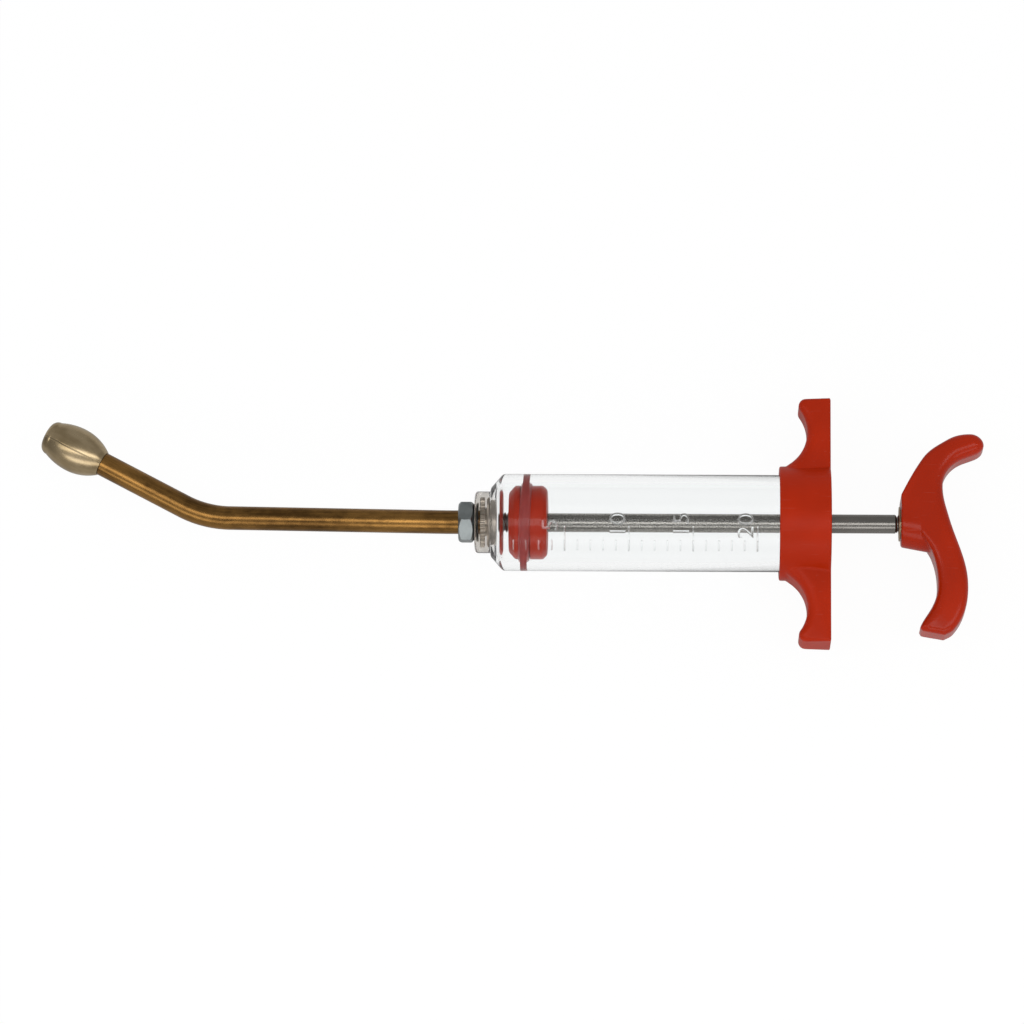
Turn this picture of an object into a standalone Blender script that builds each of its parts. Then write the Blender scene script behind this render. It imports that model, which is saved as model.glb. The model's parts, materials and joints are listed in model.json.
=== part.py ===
"""Dosing syringe for livestock: 20 ml clear barrel, red finger grip and palm handle,
steel rod, and a bent brass nozzle tube that ends in an olive.

Run with: blender --background --python part.py

Every piece is modelled about its own origin on the barrel's axis, +X towards the palm
handle, and is then placed along that axis. The wings of the finger grip, the bend of the
nozzle and the S of the palm handle all lie in the XY plane, and +Z is up.
"""
from math import asin, cos, degrees, pi, radians, sin, sqrt, tan

import bmesh
import bpy
from mathutils import Matrix, Vector
from mathutils.geometry import interpolate_bezier

MM = 0.001

# Clearances between pieces that touch or run on each other
FIT_GAP = 0.3 * MM
SEAT_GAP = 0.2 * MM
SEAL_GAP = 0.2 * MM

# Barrel: clear tube with a closed front end and a threaded neck
BORE_DIAMETER = 20.0 * MM
BARREL_WALL = 2.1 * MM
BORE_LENGTH = 78.0 * MM
END_WALL = 2.45 * MM
END_CONE_LENGTH = 1.0 * MM
END_CONE_DROP = 1.0 * MM
SHOULDER_LENGTH = 3.15 * MM
SHOULDER_DROP = 3.6 * MM
NECK_DIAMETER = 15.4 * MM
NECK_LENGTH = 3.9 * MM
NECK_EDGE_RADIUS = 0.9 * MM

# Threaded insert moulded into the neck, and the gasket in front of it
INSERT_DIAMETER = 7.9 * MM
INSERT_LENGTH = 4.1 * MM
INSERT_COLLAR_LENGTH = 1.25 * MM
INSERT_GROOVE_LENGTH = 0.45 * MM
INSERT_GROOVE_DEPTH = 0.5 * MM
INSERT_CHAMFER = 0.45 * MM
NOZZLE_THREAD_DIAMETER = 6.0 * MM
GASKET_DIAMETER = 9.6 * MM
GASKET_THICKNESS = 1.0 * MM
GASKET_RECESS_DEPTH = 1.3 * MM

# Lock nut on the nozzle's thread
NUT_ACROSS_FLATS = 9.6 * MM
NUT_THICKNESS = 3.9 * MM
NUT_CHAMFER_ANGLE = radians(30)
NUT_ROLL = radians(6.4)

# Nozzle tube: thread, long run, one bend, and a spigot that carries the olive
TUBE_DIAMETER = 5.9 * MM
TUBE_WALL = 1.2 * MM
TUBE_THREAD_IN_INSERT = 2.2 * MM
TUBE_STRAIGHT_AHEAD_OF_NUT = 1.6 * MM
TUBE_RUN_LENGTH = 60.2 * MM
TUBE_RUN_RISE_ANGLE = radians(0.85)
TUBE_BEND_ANGLE = radians(26.85)
TUBE_BEND_RADIUS = 26.0 * MM
TUBE_RISER_LENGTH = 29.4 * MM
SPIGOT_DIAMETER = 4.9 * MM
SPIGOT_LENGTH = 5.5 * MM

# Olive: turned ball tip
OLIVE_DIAMETER = 11.4 * MM
OLIVE_LENGTH = 15.9 * MM
OLIVE_BASE_DIAMETER = 6.3 * MM
OLIVE_BELLY_POSITION = 7.6 * MM
OLIVE_FRONT_ARC_RADIUS = 15.5 * MM
OLIVE_SIDE_LENGTH = 14.3 * MM
OLIVE_OUTLET_DIAMETER = 3.0 * MM
OLIVE_LAND_WIDTH = 0.8 * MM

# Piston: two red discs that hold an O-ring between them
PISTON_REST_POSITION = 2.2 * MM
PISTON_DIAMETER = 18.4 * MM
FRONT_DISC_LENGTH = 2.7 * MM
FRONT_DISC_CHAMFER_LENGTH = 1.6 * MM
FRONT_DISC_CHAMFER_DROP = 1.85 * MM
REAR_DISC_LENGTH = 3.9 * MM
REAR_DISC_CHAMFER = 1.05 * MM
O_RING_SECTION = 2.65 * MM
O_RING_SIDE_GAP = 0.12 * MM
ZERO_STOP_GAP = 0.3 * MM

# Rod: steel, threaded at both ends, with a collar inside the rear disc
ROD_DIAMETER = 4.7 * MM
ROD_FRONT_THREAD_DIAMETER = 5.0 * MM
ROD_FRONT_STUB = 1.75 * MM
ROD_COLLAR_DIAMETER = 6.6 * MM
ROD_COLLAR_LENGTH = 1.0 * MM
ROD_SHAFT_LENGTH = 86.5 * MM
ROD_CHAMFER = 0.35 * MM
ROD_REAR_THREAD_DIAMETER = 4.4 * MM
ROD_REAR_THREAD_LENGTH = 7.5 * MM

# Finger grip: cap that screws onto the barrel, with two finger wings
GRIP_LENGTH = 12.8 * MM
GRIP_WEB = 4.0 * MM
GRIP_CAP_WALL = 1.85 * MM
GRIP_EDGE_RADIUS = 0.5 * MM
WING_SPAN = 62.0 * MM
WING_WAIST_THICKNESS = 5.75 * MM
WING_WAIST_POSITION = 23.0 * MM
WING_SCALLOP_RADIUS = 9.2 * MM
WING_ROOT_SLOPE = radians(54)
WING_TIP_RADIUS = 1.4 * MM
WING_ROOT_DEPTH = 15.2 * MM
WING_TIP_DEPTH = 11.2 * MM
WING_ROOT_FILLET = 3.0 * MM
WING_TIP_FILLET = 1.3 * MM
WING_FILLET_FADE_POWER = 3
WING_FILLET_MOST_OF_THICKNESS = 0.45
WING_FILLET_MOST_OF_HALF_DEPTH = 0.9
WING_TIP_EDGE = 0.4 * MM

# Palm handle: S-shaped plate with rounded edges on a boss, and its brass insert
HANDLE_STANDOFF = 0.75 * MM
HANDLE_INSERT_DIAMETER = 7.0 * MM
HANDLE_INSERT_LENGTH = 9.0 * MM
HANDLE_FLANGE_DIAMETER = 8.7 * MM
HANDLE_FLANGE_THICKNESS = 0.5 * MM
BOSS_FACE_DIAMETER = 11.7 * MM
BOSS_LENGTH = 9.0 * MM
BOSS_DROP = 1.7 * MM
BOSS_EDGE_CHAMFER = 0.3 * MM
BOSS_BELOW_PLATE_FACE = 0.2 * MM
PALM_DEPTH = 11.4 * MM
PALM_TIP_DEPTH_SHARE = 0.84
PALM_HEIGHT = 51.3 * MM
PALM_BREADTH = 20.7 * MM
PALM_EDGE_RADIUS = 2.9 * MM

# Outline of the palm handle, anticlockwise seen from above. Each corner or bend is x and y
# from the boss's face and axis on the drawing's grid, the headings in degrees in which the
# outline arrives and leaves, and the share of the edge radius there. The drawing is then
# sized to the palm handle's height and breadth.
PALM_OUTLINE = (
    (0.3, -0.6, -90, 0, 0.14),
    (5.0, -0.9, 0, -110, 0.14),
    (4.8, -3.4, -80, -55, 0.28),
    (7.4, -7.6, -62, -68, 0.55),
    (8.95, -16.0, -90, -90, 0.9),
    (7.4, -21.9, -118, -118, 0.9),
    (4.5, -27.0, -112, -60, 0.55),
    (5.2, -27.9, -12, -12, 0.55),
    (10.5, -28.9, -12, 30, 0.62),
    (12.9, -27.4, 50, 50, 0.69),
    (16.4, -16.4, 90, 90, 0.83),
    (11.8, 1.1, 105, 105, 0.83),
    (10.3, 8.9, 90, 90, 0.9),
    (13.6, 15.1, 35, 35, 1.0),
    (18.6, 17.3, 24, 24, 0.97),
    (20.5, 19.6, 90, 90, 0.9),
    (17.3, 22.4, 180, 180, 0.76),
    (11.4, 20.8, 212, 212, 0.62),
    (5.3, 15.8, 236, 236, 0.41),
    (0.3, 7.0, 243, 250, 0.24),
    (0.0, 6.2, 270, 270, 0.17),
)
SPAN_POINTS = 4
BEZIER_REACH = 0.36
EDGE_STEPS = 4

# Fineness of the round pieces
FINE_SEGMENTS = 56
SEGMENTS = 40
SMALL_SEGMENTS = 28
TUBE_BEND_STEPS = 10
OLIVE_SIDE_STEPS = 7
OLIVE_NOSE_STEPS = 4
O_RING_STEPS = 10
SCALLOP_STEPS = 10
WING_CORNER_STEPS = 5
SMOOTH_ANGLE = radians(32)
MERGE_DISTANCE = 0.001 * MM
CUTTER_OVERSHOOT = 1.0 * MM

# Sizes that follow from the driving ones
BORE_RADIUS = BORE_DIAMETER / 2
BARREL_RADIUS = BORE_RADIUS + BARREL_WALL
NECK_RADIUS = NECK_DIAMETER / 2
NECK_FRONT = -END_WALL - NECK_LENGTH
RECESS_BOTTOM = NECK_FRONT + GASKET_RECESS_DEPTH
RECESS_RADIUS = GASKET_DIAMETER / 2 + FIT_GAP
INSERT_FRONT = RECESS_BOTTOM + SEAT_GAP
INSERT_POCKET_RADIUS = INSERT_DIAMETER / 2 + FIT_GAP
INSERT_POCKET_BOTTOM = INSERT_FRONT + INSERT_LENGTH + SEAT_GAP
NOZZLE_HOLE_RADIUS = NOZZLE_THREAD_DIAMETER / 2 + FIT_GAP
GASKET_FRONT = RECESS_BOTTOM - SEAT_GAP - GASKET_THICKNESS
NUT_REAR = min(GASKET_FRONT, NECK_FRONT) - SEAT_GAP
NUT_FRONT = NUT_REAR - NUT_THICKNESS

TUBE_RADIUS = TUBE_DIAMETER / 2
TUBE_BORE_RADIUS = TUBE_RADIUS - TUBE_WALL
TUBE_REAR = INSERT_FRONT + TUBE_THREAD_IN_INSERT

O_RING_GROOVE = O_RING_SECTION + 2 * O_RING_SIDE_GAP
O_RING_RADIUS = BORE_RADIUS - SEAL_GAP - O_RING_SECTION / 2
HUB_RADIUS = O_RING_RADIUS - O_RING_SECTION / 2 - FIT_GAP
PISTON_LENGTH = FRONT_DISC_LENGTH + O_RING_GROOVE + REAR_DISC_LENGTH
PISTON_RADIUS = PISTON_DIAMETER / 2
ROD_RADIUS = ROD_DIAMETER / 2
ROD_FRONT_RADIUS = ROD_FRONT_THREAD_DIAMETER / 2
ROD_REAR_RADIUS = ROD_REAR_THREAD_DIAMETER / 2
ROD_COLLAR_RADIUS = ROD_COLLAR_DIAMETER / 2
STUD_HOLE_RADIUS = ROD_FRONT_RADIUS + FIT_GAP
COLLAR_SEAT = REAR_DISC_LENGTH - ROD_COLLAR_LENGTH - SEAT_GAP

GRIP_WEB_FRONT = BORE_LENGTH + SEAT_GAP
GRIP_REAR = GRIP_WEB_FRONT + GRIP_WEB
GRIP_FRONT = GRIP_REAR - GRIP_LENGTH
GRIP_SOCKET_RADIUS = BARREL_RADIUS + FIT_GAP
GRIP_CAP_RADIUS = GRIP_SOCKET_RADIUS + GRIP_CAP_WALL
WING_TIP = WING_SPAN / 2

PISTON_REAR = PISTON_REST_POSITION + PISTON_LENGTH
ROD_SHAFT_END = PISTON_REAR + ROD_SHAFT_LENGTH
FLANGE_FRONT = ROD_SHAFT_END + HANDLE_STANDOFF
BOSS_FACE = FLANGE_FRONT + HANDLE_FLANGE_THICKNESS + SEAT_GAP
HANDLE_POCKET_RADIUS = HANDLE_INSERT_DIAMETER / 2 + FIT_GAP
HANDLE_POCKET_DEPTH = HANDLE_INSERT_LENGTH + SEAT_GAP

# The front disc stops at the bore's end face or at its cone, whichever it meets first
END_FACE_RADIUS = BORE_RADIUS - END_CONE_DROP
END_CONE_SLOPE = END_CONE_DROP / END_CONE_LENGTH
CONE_STOP = max(
    (PISTON_RADIUS - FRONT_DISC_CHAMFER_DROP + SEAT_GAP - END_FACE_RADIUS) / END_CONE_SLOPE,
    (PISTON_RADIUS + SEAT_GAP - END_FACE_RADIUS) / END_CONE_SLOPE - FRONT_DISC_CHAMFER_LENGTH,
)
TRAVEL_TO_ZERO = PISTON_REST_POSITION - max(ZERO_STOP_GAP, CONE_STOP)
TRAVEL_TO_FULL = GRIP_WEB_FRONT - PISTON_REAR - SEAT_GAP


def linear(red, green, blue):
    """Scene-linear colour of an 8-bit sRGB one."""
    def channel(value):
        value /= 255
        return value / 12.92 if value <= 0.04045 else ((value + 0.055) / 1.055) ** 2.4
    return channel(red), channel(green), channel(blue), 1.0


def finish(obj, colour, roughness, metallic=0.0, alpha=1.0):
    """Give an object its own Principled material."""
    material = bpy.data.materials.new(obj.name)
    material.use_nodes = True
    shader = material.node_tree.nodes["Principled BSDF"]
    shader.inputs["Base Color"].default_value = colour
    shader.inputs["Roughness"].default_value = roughness
    shader.inputs["Metallic"].default_value = metallic
    shader.inputs["Alpha"].default_value = alpha
    obj.data.materials.clear()
    obj.data.materials.append(material)


def add_object(name, bm, parent=None, x=0.0):
    """Store a bmesh as a named object at x on the barrel's axis."""
    bmesh.ops.remove_doubles(bm, verts=bm.verts, dist=MERGE_DISTANCE)
    bmesh.ops.recalc_face_normals(bm, faces=bm.faces)
    mesh = bpy.data.meshes.new(name)
    bm.to_mesh(mesh)
    bm.free()
    mesh.shade_smooth()
    mesh.set_sharp_from_angle(angle=SMOOTH_ANGLE)
    obj = bpy.data.objects.new(name, mesh)
    obj.location.x = x
    obj.parent = parent
    bpy.context.collection.objects.link(obj)
    return obj


def helper(obj):
    """Mark an object as a cutter or a guide."""
    obj.hide_render = True
    obj.display_type = 'WIRE'
    return obj


def combine(obj, tool, operation):
    """Add a Boolean modifier that joins the tool to the object or cuts it away."""
    boolean = obj.modifiers.new(tool.name, 'BOOLEAN')
    boolean.operation = operation
    boolean.solver = 'EXACT'
    boolean.object = tool


def turned(profile, segments=SEGMENTS, closed=True):
    """Turn a profile of (x, radius) points about the X axis."""
    bm = bmesh.new()
    points = [bm.verts.new((x, 0, r)) for x, r in profile]
    edges = [bm.edges.new(pair) for pair in zip(points, points[1:])]
    if closed:
        edges.append(bm.edges.new((points[-1], points[0])))
    bmesh.ops.spin(bm, geom=points + edges, cent=(0, 0, 0), axis=(1, 0, 0),
                   angle=2 * pi, steps=segments, use_merge=True)
    return bm


def arc(centre, radius, start, end, steps):
    """Points of an arc in degrees, both ends included."""
    turns = [radians(start + (end - start) * i / steps) for i in range(steps + 1)]
    return [(centre[0] + radius * cos(t), centre[1] + radius * sin(t)) for t in turns]


def loft(rings):
    """Skin a list of rings of equal length and close both ends."""
    bm = bmesh.new()
    loops = [[bm.verts.new(point) for point in ring] for ring in rings]
    for near, far in zip(loops, loops[1:]):
        for i in range(len(near)):
            j = (i + 1) % len(near)
            bm.faces.new((near[i], near[j], far[j], far[i]))
    bm.faces.new(loops[0])
    bm.faces.new(loops[-1])
    return bm


def make_barrel(parent):
    shoulder_radius = BARREL_RADIUS - SHOULDER_DROP
    edge = NECK_EDGE_RADIUS
    neck_edge = arc((NECK_FRONT + edge, NECK_RADIUS - edge), edge, 180, 90, EDGE_STEPS)
    profile = [
        (BORE_LENGTH, BORE_RADIUS),
        (END_CONE_LENGTH, BORE_RADIUS),
        (0, END_FACE_RADIUS),
        (0, NOZZLE_HOLE_RADIUS),
        (INSERT_POCKET_BOTTOM, NOZZLE_HOLE_RADIUS),
        (INSERT_POCKET_BOTTOM, INSERT_POCKET_RADIUS),
        (RECESS_BOTTOM, INSERT_POCKET_RADIUS),
        (RECESS_BOTTOM, RECESS_RADIUS),
        (NECK_FRONT, RECESS_RADIUS),
        *neck_edge,
        (-END_WALL, NECK_RADIUS),
        (-END_WALL, shoulder_radius),
        (SHOULDER_LENGTH - END_WALL, BARREL_RADIUS),
        (BORE_LENGTH, BARREL_RADIUS),
    ]
    barrel = add_object("barrel", turned(profile, FINE_SEGMENTS), parent)
    finish(barrel, linear(240, 243, 244), 0.05, alpha=0.3)


def make_neck_insert(parent):
    radius = INSERT_DIAMETER / 2
    groove_start = INSERT_COLLAR_LENGTH
    groove_end = groove_start + INSERT_GROOVE_LENGTH
    profile = [
        (0, NOZZLE_HOLE_RADIUS),
        (0, radius),
        (groove_start, radius),
        (groove_start, radius - INSERT_GROOVE_DEPTH),
        (groove_end, radius - INSERT_GROOVE_DEPTH),
        (groove_end, radius),
        (INSERT_LENGTH - INSERT_CHAMFER, radius),
        (INSERT_LENGTH, radius - INSERT_CHAMFER),
        (INSERT_LENGTH, NOZZLE_HOLE_RADIUS),
    ]
    insert = add_object("neck_insert", turned(profile), parent, INSERT_FRONT)
    finish(insert, linear(165, 155, 140), 0.35, metallic=1.0)


def make_gasket(parent):
    radius = GASKET_DIAMETER / 2
    profile = [
        (0, NOZZLE_HOLE_RADIUS),
        (0, radius),
        (GASKET_THICKNESS, radius),
        (GASKET_THICKNESS, NOZZLE_HOLE_RADIUS),
    ]
    gasket = add_object("nozzle_gasket", turned(profile, SMALL_SEGMENTS), parent, GASKET_FRONT)
    finish(gasket, linear(45, 47, 48), 0.6)


def make_lock_nut(parent):
    """Hexagon whose corners are turned off by a cone at both ends."""
    corner = NUT_ACROSS_FLATS / 2 / cos(radians(30))
    turns = [NUT_ROLL + radians(60 * i) for i in range(6)]
    hexagon = [[(x, -corner * sin(t), corner * cos(t)) for t in turns]
               for x in (0, NUT_THICKNESS)]
    nut = add_object("lock_nut", loft(hexagon), parent, NUT_FRONT)
    flat = NUT_ACROSS_FLATS / 2
    rise = (corner - flat) * tan(NUT_CHAMFER_ANGLE)
    cone = [
        (0, NOZZLE_HOLE_RADIUS),
        (0, flat),
        (rise, corner),
        (NUT_THICKNESS - rise, corner),
        (NUT_THICKNESS, flat),
        (NUT_THICKNESS, NOZZLE_HOLE_RADIUS),
    ]
    blank = add_object("lock_nut_turning", turned(cone), parent, NUT_FRONT)
    combine(nut, helper(blank), 'INTERSECT')
    finish(nut, linear(178, 182, 182), 0.3, metallic=1.0)


def tube_stations():
    """Centre, rise angle, outer and bore radius along the tube, from its thread end."""
    stations = []
    point = Vector((0, 0))
    angle = 0.0

    def add(radius=TUBE_RADIUS):
        stations.append((point.copy(), angle, radius, TUBE_BORE_RADIUS))

    def go(length):
        point.x -= length * cos(angle)
        point.y += length * sin(angle)

    add()
    go(TUBE_REAR - NUT_FRONT + TUBE_STRAIGHT_AHEAD_OF_NUT)
    add()
    angle = TUBE_RUN_RISE_ANGLE
    tangent = TUBE_BEND_RADIUS * tan(TUBE_BEND_ANGLE / 2)
    go(TUBE_RUN_LENGTH - tangent)
    add()
    step = TUBE_BEND_ANGLE / TUBE_BEND_STEPS
    chord = 2 * TUBE_BEND_RADIUS * sin(step / 2)
    for _ in range(TUBE_BEND_STEPS):
        angle += step / 2
        go(chord)
        angle += step / 2
        add()
    go(TUBE_RISER_LENGTH - tangent)
    add()
    add(SPIGOT_DIAMETER / 2)
    go(SPIGOT_LENGTH)
    add(SPIGOT_DIAMETER / 2)
    return stations


def nozzle_shoulder():
    """Place where the olive's base meets the tube, and the tube's rise angle there."""
    centre, angle, _, _ = tube_stations()[-3]
    return centre, angle


def ring_points(centre, angle, radius, segments):
    """Ring square to a tube that runs towards -X and rises by an angle in the XY plane."""
    turns = [2 * pi * i / segments for i in range(segments)]
    across = Vector((sin(angle), cos(angle), 0))
    middle = Vector((centre.x, centre.y, 0))
    return [middle + across * radius * cos(t) + Vector((0, 0, radius * sin(t))) for t in turns]


def make_nozzle_tube(parent):
    stations = tube_stations()
    bm = bmesh.new()
    skin = [ring_points(c, a, outer, SMALL_SEGMENTS) for c, a, outer, _ in stations]
    bore = [ring_points(c, a, inner, SMALL_SEGMENTS) for c, a, _, inner in reversed(stations)]
    loops = [[bm.verts.new(point) for point in ring] for ring in skin + bore]
    for near, far in zip(loops, loops[1:] + loops[:1]):
        for i in range(SMALL_SEGMENTS):
            j = (i + 1) % SMALL_SEGMENTS
            bm.faces.new((near[i], near[j], far[j], far[i]))
    tube = add_object("nozzle_tube", bm, parent, TUBE_REAR)
    finish(tube, linear(120, 86, 42), 0.35, metallic=1.0)


def make_nozzle_olive(parent):
    """Turned about X with its base at the origin, then leaned onto the tube's end."""
    belly = OLIVE_DIAMETER / 2
    base = OLIVE_BASE_DIAMETER / 2
    drop = belly - base
    rear_radius = (OLIVE_BELLY_POSITION ** 2 + drop ** 2) / (2 * drop)
    side = []
    for i in range(OLIVE_SIDE_STEPS):
        x = OLIVE_BELLY_POSITION * i / OLIVE_SIDE_STEPS
        ahead = OLIVE_BELLY_POSITION - x
        side.append((x, belly - rear_radius + sqrt(rear_radius ** 2 - ahead ** 2)))
    for i in range(OLIVE_SIDE_STEPS):
        ahead = (OLIVE_SIDE_LENGTH - OLIVE_BELLY_POSITION) * i / (OLIVE_SIDE_STEPS - 1)
        radius = OLIVE_FRONT_ARC_RADIUS
        side.append((OLIVE_BELLY_POSITION + ahead, belly - radius + sqrt(radius ** 2 - ahead ** 2)))
    nose_radius = side[-1][1]
    outlet = OLIVE_OUTLET_DIAMETER / 2
    land = outlet + OLIVE_LAND_WIDTH
    nose = OLIVE_LENGTH - OLIVE_SIDE_LENGTH
    dome = []
    for i in range(1, OLIVE_NOSE_STEPS + 1):
        radius = nose_radius + (land - nose_radius) * i / OLIVE_NOSE_STEPS
        lift = sqrt(1 - ((radius - land) / (nose_radius - land)) ** 2)
        dome.append((OLIVE_SIDE_LENGTH + nose * lift, radius))
    socket = SPIGOT_DIAMETER / 2 + FIT_GAP
    socket_end = SPIGOT_LENGTH + SEAT_GAP
    profile = [
        *side,
        *dome,
        (OLIVE_LENGTH, outlet),
        (socket_end, outlet),
        (socket_end, socket),
        (0, socket),
    ]
    profile = [(-x, r) for x, r in profile]
    centre, angle = nozzle_shoulder()
    olive = add_object("nozzle_olive", turned(profile), parent)
    lean = Matrix.Rotation(-angle, 4, 'Z')
    start = centre + Vector((-cos(angle), sin(angle))) * SEAT_GAP
    olive.data.transform(Matrix.Translation((start.x, start.y, 0)) @ lean)
    olive.location.x = TUBE_REAR
    finish(olive, linear(176, 152, 108), 0.3, metallic=1.0)


def make_piston_front(parent):
    profile = [
        (0, STUD_HOLE_RADIUS),
        (0, PISTON_RADIUS - FRONT_DISC_CHAMFER_DROP),
        (FRONT_DISC_CHAMFER_LENGTH, PISTON_RADIUS),
        (FRONT_DISC_LENGTH, PISTON_RADIUS),
        (FRONT_DISC_LENGTH, STUD_HOLE_RADIUS),
    ]
    disc = add_object("piston_front", turned(profile), parent, PISTON_REST_POSITION)
    finish(disc, linear(168, 38, 15), 0.35)


def make_piston_o_ring(parent):
    middle = PISTON_REST_POSITION + FRONT_DISC_LENGTH + O_RING_GROOVE / 2
    last = 360 - 360 / O_RING_STEPS
    profile = arc((0, O_RING_RADIUS), O_RING_SECTION / 2, 0, last, O_RING_STEPS - 1)
    ring = add_object("piston_o_ring", turned(profile), parent, middle)
    finish(ring, linear(150, 52, 48), 0.5)


def make_piston_rear(parent):
    """Rear disc with the hub that fills the O-ring and a seat for the rod's collar."""
    front = -O_RING_GROOVE + SEAT_GAP
    profile = [
        (front, STUD_HOLE_RADIUS),
        (front, HUB_RADIUS),
        (0, HUB_RADIUS),
        (0, PISTON_RADIUS),
        (REAR_DISC_LENGTH - REAR_DISC_CHAMFER, PISTON_RADIUS),
        (REAR_DISC_LENGTH, PISTON_RADIUS - REAR_DISC_CHAMFER),
        (REAR_DISC_LENGTH, ROD_COLLAR_RADIUS + FIT_GAP),
        (COLLAR_SEAT, ROD_COLLAR_RADIUS + FIT_GAP),
        (COLLAR_SEAT, STUD_HOLE_RADIUS),
    ]
    disc = add_object("piston_rear", turned(profile), parent, PISTON_REAR - REAR_DISC_LENGTH)
    finish(disc, linear(168, 38, 15), 0.35)


def make_piston_rod(parent):
    """Rod with x = 0 at the piston's rear face."""
    collar_front = COLLAR_SEAT + SEAT_GAP - REAR_DISC_LENGTH
    stub = -PISTON_LENGTH - ROD_FRONT_STUB
    tail = ROD_SHAFT_LENGTH + ROD_REAR_THREAD_LENGTH
    profile = [
        (stub, 0),
        (stub, ROD_FRONT_RADIUS - ROD_CHAMFER),
        (stub + ROD_CHAMFER, ROD_FRONT_RADIUS),
        (collar_front, ROD_FRONT_RADIUS),
        (collar_front, ROD_COLLAR_RADIUS),
        (collar_front + ROD_COLLAR_LENGTH, ROD_COLLAR_RADIUS),
        (collar_front + ROD_COLLAR_LENGTH, ROD_RADIUS),
        (ROD_SHAFT_LENGTH - ROD_CHAMFER, ROD_RADIUS),
        (ROD_SHAFT_LENGTH, min(ROD_RADIUS, ROD_REAR_RADIUS)),
        (tail - ROD_CHAMFER, ROD_REAR_RADIUS),
        (tail, ROD_REAR_RADIUS - ROD_CHAMFER),
        (tail, 0),
    ]
    rod = add_object("piston_rod", turned(profile, SMALL_SEGMENTS, closed=False),
                     parent, PISTON_REAR)
    finish(rod, linear(150, 148, 145), 0.3, metallic=1.0)


def wing_outline():
    """Distance from the axis and thickness of one wing, from the cap's middle to its tip."""
    arc_end = WING_ROOT_SLOPE
    root_y = WING_WAIST_POSITION - WING_SCALLOP_RADIUS * sin(arc_end)
    root_t = WING_WAIST_THICKNESS + WING_SCALLOP_RADIUS * (1 - cos(arc_end))
    buried = GRIP_LENGTH - GRIP_EDGE_RADIUS
    line_y = root_y - max(buried - root_t, 0) / tan(arc_end)
    points = [(max(line_y, 0), buried)]

    # The scallop's circle and the tip's corner touch at one angle
    corner_y = WING_TIP - WING_TIP_RADIUS
    reach = WING_SCALLOP_RADIUS + WING_TIP_RADIUS
    across = corner_y - WING_WAIST_POSITION
    touch = asin(min(across / reach, 1))
    corner_t = WING_WAIST_THICKNESS + WING_SCALLOP_RADIUS - sqrt(max(reach ** 2 - across ** 2, 0))
    for i in range(SCALLOP_STEPS + 1):
        turn = -arc_end + (arc_end + touch) * i / SCALLOP_STEPS
        points.append((WING_WAIST_POSITION + WING_SCALLOP_RADIUS * sin(turn),
                       WING_WAIST_THICKNESS + WING_SCALLOP_RADIUS * (1 - cos(turn))))
    for i in range(1, WING_CORNER_STEPS + 1):
        turn = (pi / 2 + touch) * (1 - i / WING_CORNER_STEPS)
        points.append((corner_y + WING_TIP_RADIUS * cos(turn),
                       corner_t + WING_TIP_RADIUS * sin(turn)))
    return points


def wing_section(y, thickness, depth, fillet):
    """Section square to the wing: flat back, rounded front corners."""
    half = depth / 2
    front = GRIP_LENGTH - thickness
    fillet = min(fillet, thickness * WING_FILLET_MOST_OF_THICKNESS,
                 half * WING_FILLET_MOST_OF_HALF_DEPTH)
    top = arc((front + fillet, half - fillet), fillet, 90, 180, EDGE_STEPS)
    bottom = arc((front + fillet, fillet - half), fillet, 180, 270, EDGE_STEPS)
    corners = [(GRIP_LENGTH, half), *top, *bottom, (GRIP_LENGTH, -half)]
    return [(x, y, z) for x, z in corners]


def make_finger_grip(parent):
    """Bar with both wings, joined to the cap and bored for the barrel and the rod."""
    half_bar = wing_outline()
    rings = []
    for y, thickness in half_bar:
        share = y / WING_TIP
        fade = share ** WING_FILLET_FADE_POWER
        depth = WING_ROOT_DEPTH + (WING_TIP_DEPTH - WING_ROOT_DEPTH) * share
        fillet = WING_ROOT_FILLET + (WING_TIP_FILLET - WING_ROOT_FILLET) * fade
        edge = max(y - (WING_TIP - WING_TIP_EDGE), 0)
        rings.append(wing_section(y, thickness, depth - 2 * edge, fillet))
    mirrored = [[(x, -y, z) for x, y, z in ring] for ring in reversed(rings)]
    grip = add_object("finger_grip", loft(mirrored + rings), parent, GRIP_FRONT)

    edge = GRIP_EDGE_RADIUS
    rim = arc((edge, GRIP_CAP_RADIUS - edge), edge, 180, 90, EDGE_STEPS)
    cap_profile = [(0, 0), *rim, (GRIP_LENGTH, GRIP_CAP_RADIUS), (GRIP_LENGTH, 0)]
    cap = add_object("finger_grip_cap", turned(cap_profile, FINE_SEGMENTS, closed=False),
                     parent, GRIP_FRONT)
    combine(grip, helper(cap), 'UNION')

    over = CUTTER_OVERSHOOT
    socket_depth = GRIP_LENGTH - GRIP_WEB
    hole = ROD_RADIUS + FIT_GAP
    socket_profile = [
        (-over, 0),
        (-over, GRIP_SOCKET_RADIUS),
        (socket_depth, GRIP_SOCKET_RADIUS),
        (socket_depth, hole),
        (GRIP_LENGTH + over, hole),
        (GRIP_LENGTH + over, 0),
    ]
    socket = add_object("finger_grip_socket", turned(socket_profile, FINE_SEGMENTS, closed=False),
                        parent, GRIP_FRONT)
    combine(grip, helper(socket), 'DIFFERENCE')
    finish(grip, linear(172, 40, 16), 0.35)


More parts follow.
